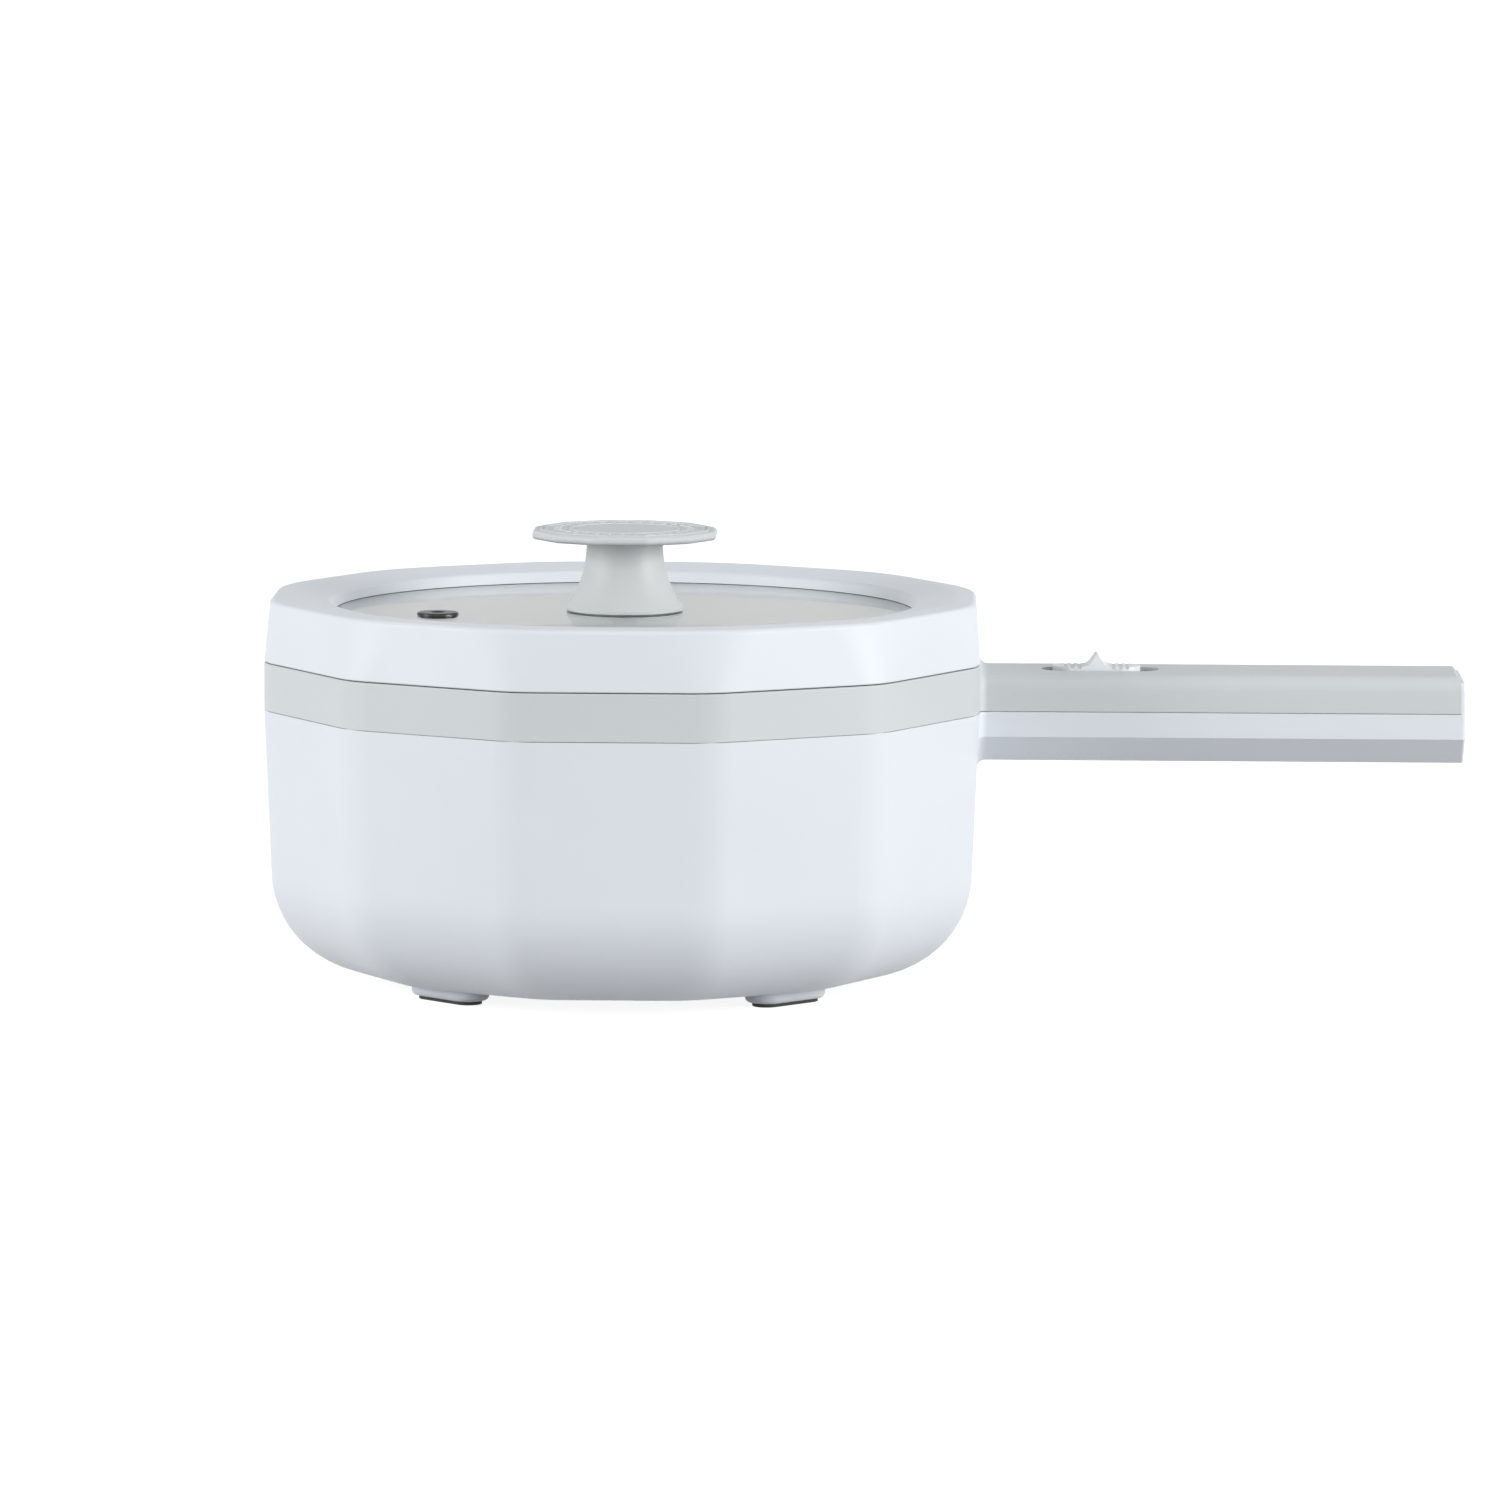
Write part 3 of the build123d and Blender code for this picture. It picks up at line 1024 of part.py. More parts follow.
with BuildPart() as wire_hot:
    add(wire_form(
        (TAB_FRONT_X, 0, TAB_MIDDLE_Z),
        (TAB_FRONT_X - LEAD, 0, TAB_MIDDLE_Z),
        (DROP_X, HOT_Y, DROP_TOP),
        (DROP_X, HOT_Y, DROP_LOW),
        (DROP_X - 8, HOT_Y + 5, RUN_Z + 8),
        (PIN_TIP + 12, TAIL_Y - 3, TUBE_Z + 0.4),
        (PIN_TIP + LEAD, TAIL_Y, TUBE_Z),
        (PIN_TIP, TAIL_Y, TUBE_Z),
    ))

with BuildPart() as wire_neutral:
    add(wire_form(
        (INLET_REAR, -PIN_SPREAD, LINE_Z),
        (INLET_REAR - LEAD, -PIN_SPREAD, LINE_Z),
        (INLET_REAR - 18, -HANDLE_RUN_Y, HANDLE_RUN_Z),
        (TAB_FRONT_X + 2, -HANDLE_RUN_Y, HANDLE_RUN_Z),
        (DROP_X, NEUTRAL_Y, DROP_TOP),
        (DROP_X, NEUTRAL_Y, DROP_LOW),
        (DROP_X - 9, NEUTRAL_Y - 3, RUN_Z + 6),
        (TAIL_X + 8, NEUTRAL_Y - 6, RUN_Z + 0.6),
        (32, -3.5, RUN_Z + 1),
        (TAB_TIP + LEAD, 0, THERMOSTAT_TAB_Z),
        (TAB_TIP, 0, THERMOSTAT_TAB_Z),
    ))

with BuildPart() as wire_earth:
    add(wire_form(
        (INLET_REAR, 0, EARTH_PIN_Z),
        (INLET_REAR - LEAD, 0, EARTH_PIN_Z),
        (INLET_REAR - 18, 7.8, EARTH_RUN_Z + 1),
        (TAB_FRONT_X - 2, 7.8, EARTH_RUN_Z + 0.6),
        (DROP_X, EARTH_Y, EARTH_RUN_Z + 2),
        (DROP_X, EARTH_Y, DROP_LOW),
        (DROP_X - 10, EARTH_Y - 1, RUN_Z + 6),
        (EARTH_TIP + 6, 0.6, RUN_Z + 2.4),
        (EARTH_TIP + 2.5, 0, RUN_Z),
        (EARTH_TIP, 0, RUN_Z),
    ))

with BuildPart() as wire_link:
    add(wire_form(
        (-TAB_TIP, 0, THERMOSTAT_TAB_Z),
        (-TAB_TIP - LEAD, 0, THERMOSTAT_TAB_Z),
        (-TAB_TIP - 12, -10, RUN_Z + 0.4),
        (-20, -24, RUN_Z + 0.4),
        (-2, -26, RUN_Z + 0.4),
        (FUSE_X - FUSE_LENGTH / 2 - 12, FUSE_Y - 6, RUN_Z + 2),
        (FUSE_X - FUSE_LENGTH / 2 - LEAD, FUSE_Y, FUSE_Z),
        (FUSE_X - FUSE_LENGTH / 2, FUSE_Y, FUSE_Z),
    ))

with BuildPart() as wire_return:
    add(wire_form(
        (FUSE_X + FUSE_LENGTH / 2, FUSE_Y, FUSE_Z),
        (FUSE_X + FUSE_LENGTH / 2 + LEAD, FUSE_Y, FUSE_Z),
        (TAIL_X - 4, FUSE_Y - 3, TUBE_Z - 1.5),
        (PIN_TIP + 6, FUSE_Y - 3.5, TUBE_Z - 1.5),
        (PIN_TIP + 12, FUSE_Y - 9, TUBE_Z - 1),
        (PIN_TIP + LEAD, -TAIL_Y, TUBE_Z),
        (PIN_TIP, -TAIL_Y, TUBE_Z),
    ))

COMB_OUTER = side_apothem(COMB_Z - COMB_HEIGHT / 2) - WALL

with BuildPart() as wire_comb:
    with BuildSketch(Plane.XY.offset(COMB_Z - COMB_HEIGHT / 2)):
        with Locations(((DROP_X - COMB_MARGIN + COMB_OUTER) / 2, EARTH_Y)):
            Rectangle(COMB_OUTER - DROP_X + COMB_MARGIN, 2 * WIRE_PITCH + 2 * COMB_MARGIN)
        with Locations((DROP_X, HOT_Y), (DROP_X, EARTH_Y), (DROP_X, NEUTRAL_Y)):
            Circle(WIRE_R + THREAD_CLEARANCE, mode=Mode.SUBTRACT)
    extrude(amount=COMB_HEIGHT)

# ---------------------------------------------------------------- lid


def screw_places():
    return PolarLocations(LID_SCREW_PLACE_R, LID_SCREWS, start_angle=180 / SIDES)


def rim_section(height, inset):
    """Outline of the rim's sides at a height, drawn in by inset."""
    share = (height - LID_BOTTOM) / (SHOULDER - LID_BOTTOM)
    corner = CORNER_R + (RIM_TOP_CORNER_R - CORNER_R) * share
    return facets(APOTHEM - RIM_DRAFT * share - inset, height, corner - inset)


with BuildPart() as lid_rim:
    loft([
        rim_section(LID_BOTTOM, 0),
        rim_section(SHOULDER, 0),
        facets(CREST_R + CREST_WIDTH, LID_TOP, RIM_TOP_CORNER_R),
    ], ruled=True)
    fillet(lid_rim.edges().filter_by_position(Axis.Z, SHOULDER, SHOULDER), RIM_ROUND)
    fillet(lid_rim.edges().group_by(Axis.Z)[0], EDGE_ROUND)
    loft(
        [rim_section(LID_BOTTOM, RIM_WALL), rim_section(RIM_ROOF, RIM_WALL)], ruled=True,
        mode=Mode.SUBTRACT,
    )
    # clamp ring over the gasket, lip beside the glass, screw bosses
    with BuildSketch(Plane.XY.offset(GLASS_TOP + GLASS_GASKET_WALL)):
        Circle(GLASS_GASKET_R)
        Circle(OPENING_R - JOIN, mode=Mode.SUBTRACT)
    extrude(amount=RIM_ROOF + JOIN - GLASS_TOP - GLASS_GASKET_WALL)
    with BuildSketch(Plane.XY.offset(GLASS_TOP + GLASS_GAP)):
        Circle(OPENING_R + LIP_THICKNESS)
        Circle(OPENING_R - JOIN, mode=Mode.SUBTRACT)
    extrude(amount=RIM_ROOF + JOIN - GLASS_TOP - GLASS_GAP)
    with BuildSketch(Plane.XY.offset(RETAINER_TOP)):
        with screw_places():
            Circle(LID_BOSS_R)
    extrude(amount=RIM_ROOF + JOIN - RETAINER_TOP)
    # opening over the glass, and the dished top
    with BuildSketch(Plane.XZ) as dish:
        with BuildLine():
            Polyline(
                (0, GLASS_TOP),
                (OPENING_R, GLASS_TOP),
                (OPENING_R, GLASS_TOP + GLASS_GAP),
                (OPENING_TOP_R, LID_TOP - DISH_DEPTH),
                (CREST_R, LID_TOP),
                (CREST_R, LID_TOP + CUT_MARGIN),
                (0, LID_TOP + CUT_MARGIN),
                close=True,
            )
        make_face()
        edge = dish.vertices().sort_by_distance((OPENING_TOP_R, LID_TOP - DISH_DEPTH))[0]
        fillet(edge, OPENING_ROUND)
    revolve(axis=Axis.Z, mode=Mode.SUBTRACT)
    with BuildSketch(Plane.XY.offset(RETAINER_TOP)):
        with screw_places():
            Circle(LID_SCREW_R + THREAD_CLEARANCE)
    extrude(amount=LID_PILOT_DEPTH, mode=Mode.SUBTRACT)

with BuildPart() as lid_glass:
    with BuildSketch(Plane.XY.offset(GLASS_BASE)):
        Circle(GLASS_R)
        Circle(GLASS_HOLE_R, mode=Mode.SUBTRACT)
        with Locations((VENT_X, VENT_Y)):
            Circle(VENT_BARREL_R + VENT_CLEARANCE, mode=Mode.SUBTRACT)
    extrude(amount=GLASS_THICKNESS)

with BuildPart() as glass_gasket:
    with BuildSketch(Plane.XY.offset(RETAINER_TOP)):
        Circle(GLASS_GASKET_R)
        Circle(GLASS_R - GLASS_GASKET_LIP, mode=Mode.SUBTRACT)
    extrude(amount=GLASS_THICKNESS + 2 * GLASS_GASKET_WALL)
    with BuildSketch(Plane.XY.offset(GLASS_BASE)):
        Circle(GLASS_R)
    extrude(amount=GLASS_THICKNESS, mode=Mode.SUBTRACT)

SKIRT_R = POT_TOP_R - POT_WALL / 2 - SKIRT_CLEARANCE

with BuildPart() as lid_retainer:
    with BuildSketch(Plane.XY.offset(RETAINER_BASE)):
        Circle(RETAINER_R)
        Circle(SKIRT_R - SKIRT_THICKNESS, mode=Mode.SUBTRACT)
        with screw_places():
            Circle(LID_SCREW_R + THREAD_CLEARANCE, mode=Mode.SUBTRACT)
    extrude(amount=RETAINER_THICKNESS)
    with BuildSketch(Plane.XY.offset(FLANGE_TOP - SKIRT_DIP)):
        Circle(SKIRT_R)
        Circle(SKIRT_R - SKIRT_THICKNESS, mode=Mode.SUBTRACT)
    extrude(amount=RETAINER_BASE - FLANGE_TOP + SKIRT_DIP)

with BuildPart() as lid_screws:
    with BuildSketch(Plane.XY.offset(RETAINER_BASE - LID_HEAD_HEIGHT)):
        with screw_places():
            Circle(LID_HEAD_R)
    extrude(amount=LID_HEAD_HEIGHT)
    with BuildSketch(Plane.XY.offset(RETAINER_BASE)):
        with screw_places():
            Circle(LID_SCREW_R)
    extrude(amount=RETAINER_THICKNESS + LID_PILOT_DEPTH - LID_SCREW_TIP)

with BuildPart() as lid_seal:
    with BuildSketch(Plane.XY.offset(RETAINER_BASE - SEAL_BASE)):
        Circle(SKIRT_R + SEAL_MARGIN + SEAL_WIDTH)
        Circle(SKIRT_R + SEAL_MARGIN, mode=Mode.SUBTRACT)
    extrude(amount=SEAL_BASE)
    with BuildSketch(Plane.XY.offset(FLANGE_TOP + LID_GAP)):
        Circle(SEAL_LIP_R + SEAL_LIP)
        Circle(SEAL_LIP_R, mode=Mode.SUBTRACT)
    extrude(amount=RETAINER_BASE - SEAL_BASE - FLANGE_TOP - LID_GAP)

with BuildPart() as vent_eyelet:
    with BuildSketch(Plane.XY.offset(GLASS_TOP)):
        with Locations((VENT_X, VENT_Y)):
            Circle(VENT_R)
    extrude(amount=VENT_FLANGE)
    fillet(vent_eyelet.edges().group_by(Axis.Z)[-1], VENT_ROUND)
    with BuildSketch(Plane.XY.offset(GLASS_BASE)):
        with Locations((VENT_X, VENT_Y)):
            Circle(VENT_BARREL_R)
    extrude(amount=GLASS_THICKNESS)
    with BuildSketch(Plane.XY.offset(GLASS_BASE - VENT_FLANGE)):
        with Locations((VENT_X, VENT_Y)):
            Circle(VENT_R - 1)
    extrude(amount=VENT_FLANGE)
    with BuildSketch(Plane.XY.offset(GLASS_BASE - VENT_FLANGE)):
        with Locations((VENT_X, VENT_Y)):
            Circle(VENT_BORE_R)
    extrude(amount=GLASS_THICKNESS + 2 * VENT_FLANGE, mode=Mode.SUBTRACT)

# ---------------------------------------------------------------- knob

with BuildPart() as knob_washer:
    with BuildSketch(Plane.XY.offset(GLASS_TOP)):
        Circle(WASHER_R)
        Circle(INSERT_R, mode=Mode.SUBTRACT)
    extrude(amount=WASHER_THICKNESS)

with BuildPart() as knob_stem:
    with BuildSketch(Plane.XZ):
        with BuildLine():
            edge_top = (KNOB_BASE_R, KNOB_BASE + KNOB_BASE_EDGE)
            neck = (KNOB_NECK_R, KNOB_TOP - KNOB_COLLAR)
            Polyline((0, KNOB_TOP), (0, KNOB_BASE), (KNOB_BASE_R, KNOB_BASE), edge_top)
            TangentArc(neck, edge_top, tangent=(0, -1))
            Polyline(neck, (KNOB_TOP_R, KNOB_TOP), (0, KNOB_TOP))
        make_face()
    revolve(axis=Axis.Z)
    with BuildSketch(Plane.XY.offset(KNOB_TOP)):
        Circle(KNOB_PLUG_R + KNOB_PLUG_CLEARANCE)
    extrude(amount=-KNOB_PLUG - 0.2, mode=Mode.SUBTRACT)
    with BuildSketch(Plane.XY.offset(KNOB_BASE)):
        Circle(INSERT_R)
    extrude(amount=INSERT_LENGTH, mode=Mode.SUBTRACT)

with BuildPart() as knob_disc:
    extrude(facets(KNOB_DISC_APOTHEM, KNOB_TOP, KNOB_DISC_CORNER), amount=KNOB_DISC_THICKNESS)
    fillet(knob_disc.edges().group_by(Axis.Z)[-1], KNOB_DISC_EDGE)
    fillet(knob_disc.edges().group_by(Axis.Z)[0], KNOB_DISC_EDGE)
    for apothem in KNOB_RINGS:
        with BuildSketch(Plane.XY.offset(KNOB_TOP + KNOB_DISC_THICKNESS)):
            RegularPolygon(apothem, SIDES, major_radius=False, rotation=180 / SIDES)
            RegularPolygon(
                apothem - KNOB_RING_WIDTH, SIDES, major_radius=False, rotation=180 / SIDES,
                mode=Mode.SUBTRACT,
            )
        extrude(amount=KNOB_RELIEF)
    with BuildSketch(Plane.XY.offset(KNOB_TOP + KNOB_DISC_THICKNESS)):
        with PolarLocations(KNOB_TICK_PLACE_R, KNOB_TICKS):
            SlotOverall(KNOB_TICK_LENGTH, KNOB_TICK_WIDTH)
    extrude(amount=KNOB_RELIEF)
    with BuildSketch(Plane.XY.offset(KNOB_TOP)):
        Circle(KNOB_PLUG_R)
    extrude(amount=-KNOB_PLUG)

with BuildPart() as knob_insert:
    with BuildSketch(Plane.XY.offset(KNOB_BASE)):
        Circle(INSERT_R)
        Circle(KNOB_SCREW_R + THREAD_CLEARANCE, mode=Mode.SUBTRACT)
    extrude(amount=INSERT_LENGTH)

with BuildPart() as knob_lower_seal:
    with BuildSketch(Plane.XY.offset(GLASS_BASE - LOWER_THICKNESS)):
        Circle(LOWER_SEAL_R)
        Circle(GLASS_HOLE_R, mode=Mode.SUBTRACT)
    extrude(amount=LOWER_THICKNESS)

LOWER_BASE = GLASS_BASE - 2 * LOWER_THICKNESS

with BuildPart() as knob_lower_washer:
    with BuildSketch(Plane.XY.offset(LOWER_BASE)):
        Circle(LOWER_WASHER_R)
        Circle(KNOB_SCREW_R + THREAD_CLEARANCE, mode=Mode.SUBTRACT)
    extrude(amount=LOWER_THICKNESS)

with BuildPart() as knob_screw:
    with BuildSketch(Plane.XY.offset(LOWER_BASE)):
        Circle(KNOB_HEAD_R)
    extrude(amount=-KNOB_HEAD_HEIGHT)
    fillet(knob_screw.edges().group_by(Axis.Z)[0], 1.2)
    with BuildSketch(Plane.XY.offset(LOWER_BASE)):
        Circle(KNOB_SCREW_R)
    extrude(amount=KNOB_BASE + KNOB_SCREW_TIP - LOWER_BASE)

# ---------------------------------------------------------------- files

PIECES = {
    "lower_housing": lower_housing,
    "upper_housing": upper_housing,
    "inner_pot": inner_pot,
    "pot_gasket": pot_gasket,
    "heating_plate": heating_plate,
    "heating_tube": heating_tube,
    "terminal_beads": terminal_beads,
    "heater_pins": heater_pins,
    "thermostat": thermostat,
    "thermostat_tabs": thermostat_tabs,
    "thermostat_strap": thermostat_strap,
    "thermostat_screws": thermostat_screws,
    "thermal_fuse": thermal_fuse,
    "fuse_clamp": fuse_clamp,
    "fuse_screw": fuse_screw,
    "heat_shield": heat_shield,
    "shield_nuts": shield_nuts,
    "clinch_nuts": clinch_nuts,
    "foot_screws": foot_screws,
    "foot_pads": foot_pads,
    "earth_screw": earth_screw,
    "earth_tag": earth_tag,
    "switch_body": switch_body,
    "switch_tabs": switch_tabs,
    "switch_screws": switch_screws,
    "slider_carriage": slider_carriage,
    "switch_button": switch_button,
    "handle_screws": handle_screws,
    "inlet_body": inlet_body,
    "inlet_pins": inlet_pins,
    "end_cap": end_cap,
    "wire_live": wire_live,
    "wire_hot": wire_hot,
    "wire_neutral": wire_neutral,
    "wire_earth": wire_earth,
    "wire_link": wire_link,
    "wire_return": wire_return,
    "wire_comb": wire_comb,
    "lid_rim": lid_rim,
    "lid_glass": lid_glass,
    "glass_gasket": glass_gasket,
    "lid_retainer": lid_retainer,
    "lid_screws": lid_screws,
    "lid_seal": lid_seal,
    "vent_eyelet": vent_eyelet,
    "knob_washer": knob_washer,
    "knob_stem": knob_stem,
    "knob_disc": knob_disc,
    "knob_insert": knob_insert,
    "knob_lower_seal": knob_lower_seal,
    "knob_lower_washer": knob_lower_washer,
    "knob_screw": knob_screw,
}

os.makedirs("parts", exist_ok=True)
for name, piece in PIECES.items():
    piece.part.label = name
    export_step(piece.part, f"parts/{name}.step")
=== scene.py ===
import bpy
import json
from math import pi, radians
from mathutils import Matrix, Vector

# Looks of the electric hot pot: materials on the CAD pieces, studio, camera.
# Metres, +Z up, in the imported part's own frame. The handle points along +X.

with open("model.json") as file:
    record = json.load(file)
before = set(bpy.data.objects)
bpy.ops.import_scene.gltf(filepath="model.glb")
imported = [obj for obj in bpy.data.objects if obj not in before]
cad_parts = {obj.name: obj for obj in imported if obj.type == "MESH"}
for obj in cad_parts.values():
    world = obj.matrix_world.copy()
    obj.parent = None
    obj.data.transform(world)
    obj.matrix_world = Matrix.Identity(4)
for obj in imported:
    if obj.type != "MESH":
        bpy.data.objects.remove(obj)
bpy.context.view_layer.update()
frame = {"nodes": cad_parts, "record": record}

MM = 0.001

# ---------------------------------------------------------------- camera

CAMERA_PLACE = Vector((0.0992, -2.8268, 0.4005))
CAMERA_DOWN = radians(6.63)
CAMERA_TURN = radians(1.22)         # towards -X
CAMERA_ROLL = radians(0.246)
FOCAL_PIXELS = 9180.8               # in the photograph's 1500 by 1500 frame
IMAGE_PIXELS = 1500
SENSOR_WIDTH = 36.0                 # millimetres, as the lens length is
CLIP_END = 100


def make_camera():
    """The camera that was fitted to the photograph's outline."""
    data = bpy.data.cameras.new("camera")
    data.sensor_width = SENSOR_WIDTH
    data.lens = FOCAL_PIXELS / IMAGE_PIXELS * SENSOR_WIDTH
    data.clip_end = CLIP_END
    camera = bpy.data.objects.new("camera", data)
    bpy.context.scene.collection.objects.link(camera)
    camera.matrix_world = (
        Matrix.Translation(CAMERA_PLACE)
        @ Matrix.Rotation(CAMERA_TURN, 4, "Z")
        @ Matrix.Rotation(pi / 2 - CAMERA_DOWN, 4, "X")
        @ Matrix.Rotation(CAMERA_ROLL, 4, "Z")
    )
    bpy.context.scene.camera = camera


make_camera()
bpy.context.scene.view_settings.view_transform = "Standard"

# ---------------------------------------------------------------- materials

NOISE_MIDDLE = (0.3, 0.7)           # where nearly all of a noise texture's values lie


class Shader:
    """A new material's node tree, with short calls for the nodes used here."""

    def __init__(self, name):
        self.material = bpy.data.materials.new(name)
        self.material.use_nodes = True
        self.tree = self.material.node_tree
        self.surface = self.tree.nodes["Principled BSDF"]
        self.place = self.add("ShaderNodeTexCoord").outputs["Object"]

    def add(self, kind, **values):
        node = self.tree.nodes.new(kind)
        for key, value in values.items():
            setattr(node, key, value)
        return node

    def link(self, output, socket):
        self.tree.links.new(output, socket)

    def noise(self, size, detail, stretch=None):
        """Noise whose lumps are about size metres across."""
        node = self.add("ShaderNodeTexNoise")
        node.inputs["Scale"].default_value = 1 / size
        node.inputs["Detail"].default_value = detail
        if stretch:
            mapping = self.add("ShaderNodeMapping")
            mapping.inputs["Scale"].default_value = stretch
            self.link(self.place, mapping.inputs["Vector"])
            self.link(mapping.outputs[0], node.inputs["Vector"])
        else:
            self.link(self.place, node.inputs["Vector"])
        return node.outputs["Fac"]

    def spread(self, value, low, high, between=NOISE_MIDDLE):
        """A value that lies in the range between, spread from low to high."""
        node = self.add("ShaderNodeMapRange")
        node.inputs["From Min"].default_value = between[0]
        node.inputs["From Max"].default_value = between[1]
        node.inputs["To Min"].default_value = low
        node.inputs["To Max"].default_value = high
        self.link(value, node.inputs["Value"])
        return node.outputs[0]

    def around(self, value, middle, swing):
        """A noise value spread over a swing to either side of a middle."""
        return self.spread(value, middle - swing, middle + swing)

    def colours(self, value, first, second):
        """Two colours mixed by a noise value."""
        node = self.add("ShaderNodeValToRGB")
        low, high = node.color_ramp.elements
        low.position, high.position = NOISE_MIDDLE
        low.color, high.color = (*first, 1), (*second, 1)
        self.link(value, node.inputs[0])
        return node.outputs[0]

    def base(self, colour):
        self.link(colour, self.surface.inputs["Base Color"])

    def rough(self, value):
        self.link(value, self.surface.inputs["Roughness"])

    def bump(self, height, depth, strength, under=None):
        """Surface relief, depth metres deep, over another bump where one is given."""
        node = self.add("ShaderNodeBump")
        node.inputs["Distance"].default_value = depth
        node.inputs["Strength"].default_value = strength
        self.link(height, node.inputs["Height"])
        if under:
            self.link(under, node.inputs["Normal"])
        self.link(node.outputs[0], self.surface.inputs["Normal"])
        return node.outputs[0]


def shaded(colour, factor):
    return tuple(part * factor for part in colour)


def moulded_plastic(name, colour, roughness, grain, depth):
    """Injection-moulded plastic: faint flow shading, uneven sheen and a fine mould grain."""
    shader = Shader(name)
    flow = shader.noise(size=45 * MM, detail=3)
    shader.base(shader.colours(flow, shaded(colour, 0.985), shaded(colour, 1.01)))
    sheen = shader.noise(size=12 * MM, detail=4)
    shader.rough(shader.around(sheen, roughness, swing=0.03))
    wave = shader.bump(shader.noise(size=6 * MM, detail=2), depth=0.02 * MM, strength=0.5)
    shader.bump(shader.noise(size=grain, detail=3), depth=depth, strength=0.6, under=wave)
    return shader.material


def plated_steel(name, colour, roughness):
    """Turned or pressed metal with fine marks round it."""
    shader = Shader(name)
    shader.surface.inputs["Metallic"].default_value = 1.0
    stain = shader.noise(size=4 * MM, detail=4)
    shader.base(shader.colours(stain, shaded(colour, 0.93), colour))
    wear = shader.noise(size=0.6 * MM, detail=3, stretch=(1, 1, 6))
    shader.rough(shader.around(wear, roughness, swing=0.06))
    marks = shader.noise(size=0.3 * MM, detail=2, stretch=(1, 1, 8))
    shader.bump(marks, depth=0.01 * MM, strength=0.5)
    return shader.material


def soft_rubber(name, colour, roughness):
    """Rubber or silicone: uneven tone, matt, with a fine pitted skin."""
    shader = Shader(name)
    tone = shader.noise(size=3 * MM, detail=4)
    shader.base(shader.colours(tone, shaded(colour, 0.85), shaded(colour, 1.15)))
    sheen = shader.noise(size=1 * MM, detail=3)
    shader.rough(shader.around(sheen, roughness, swing=0.05))
    shader.bump(shader.noise(size=0.4 * MM, detail=3), depth=0.04 * MM, strength=0.6)
    return shader.material


def tempered_glass(name, colour, passing):
    """Clear glass that lets the lamps through to what lies under it."""
    shader = Shader(name)
    shader.surface.inputs["Transmission Weight"].default_value = 1.0
    shader.surface.inputs["IOR"].default_value = 1.5
    tint = shader.noise(size=200 * MM, detail=1)
    shader.base(shader.colours(tint, shaded(colour, 0.99), colour))
    smears = shader.noise(size=30 * MM, detail=4)
    shader.rough(shader.spread(smears, low=0.004, high=0.02))
    clear = shader.add("ShaderNodeBsdfTransparent")
    clear.inputs["Color"].default_value = (*passing, 1)
    mix = shader.add("ShaderNodeMixShader")
    shader.link(shader.add("ShaderNodeLightPath").outputs["Is Shadow Ray"], mix.inputs[0])
    shader.link(shader.surface.outputs[0], mix.inputs[1])
    shader.link(clear.outputs[0], mix.inputs[2])
    shader.link(mix.outputs[0], shader.tree.nodes["Material Output"].inputs["Surface"])
    return shader.material


FLECKS_PER_METRE = 420
FLECK_EDGE = (0.10, 0.16)           # share of a fleck's cell where the fleck fades out


def flecked_coating(name, colour, fleck):
    """Non-stick coating with fine pale flecks."""
    shader = Shader(name)
    cells = shader.add("ShaderNodeTexVoronoi")
    cells.inputs["Scale"].default_value = FLECKS_PER_METRE
    shader.link(shader.place, cells.inputs["Vector"])
    flecks = shader.spread(cells.outputs["Distance"], low=1.0, high=0.0, between=FLECK_EDGE)
    mix = shader.add("ShaderNodeMix", data_type="RGBA")
    shader.link(flecks, mix.inputs["Factor"])
    tone = shader.noise(size=10 * MM, detail=4)
    shader.link(shader.colours(tone, shaded(colour, 0.9), colour), mix.inputs["A"])
    mix.inputs["B"].default_value = (*fleck, 1)
    shader.base(mix.outputs["Result"])
    sheen = shader.noise(size=2 * MM, detail=3)
    shader.rough(shader.spread(sheen, low=0.34, high=0.44))
    shader.bump(shader.noise(size=0.8 * MM, detail=3), depth=0.03 * MM, strength=0.5)
    return shader.material


WHITE = (0.815, 0.847, 0.895)
BUTTON_WHITE = (0.92, 0.94, 0.96)
GREY = (0.66, 0.69, 0.695)
KNOB_GREY = (0.675, 0.695, 0.70)
DARK_PLASTIC = (0.035, 0.035, 0.037)
CERAMIC = (0.80, 0.77, 0.70)
STEEL = (0.62, 0.63, 0.65)
# steam vent eyelet: plain steel darkened to near black, which is painted shade and painted
# dark reflections
STEEL_PAINTED_DARK = (0.07, 0.07, 0.075)
BRASS = (0.78, 0.60, 0.32)
CAST_ALUMINIUM = (0.60, 0.61, 0.62)
DARK_RUBBER = (0.03, 0.03, 0.032)
SILICONE = (0.62, 0.64, 0.65)
GLASS = (0.86, 0.89, 0.87)
GLASS_SHADOW = (0.88, 0.91, 0.89)   # what is left of the lamps' light behind the glass
COATING = (0.13, 0.133, 0.13)
COATING_FLECK = (0.38, 0.38, 0.37)
BROWN = (0.20, 0.08, 0.035)
BLUE = (0.03, 0.10, 0.34)
GREEN = (0.10, 0.30, 0.05)

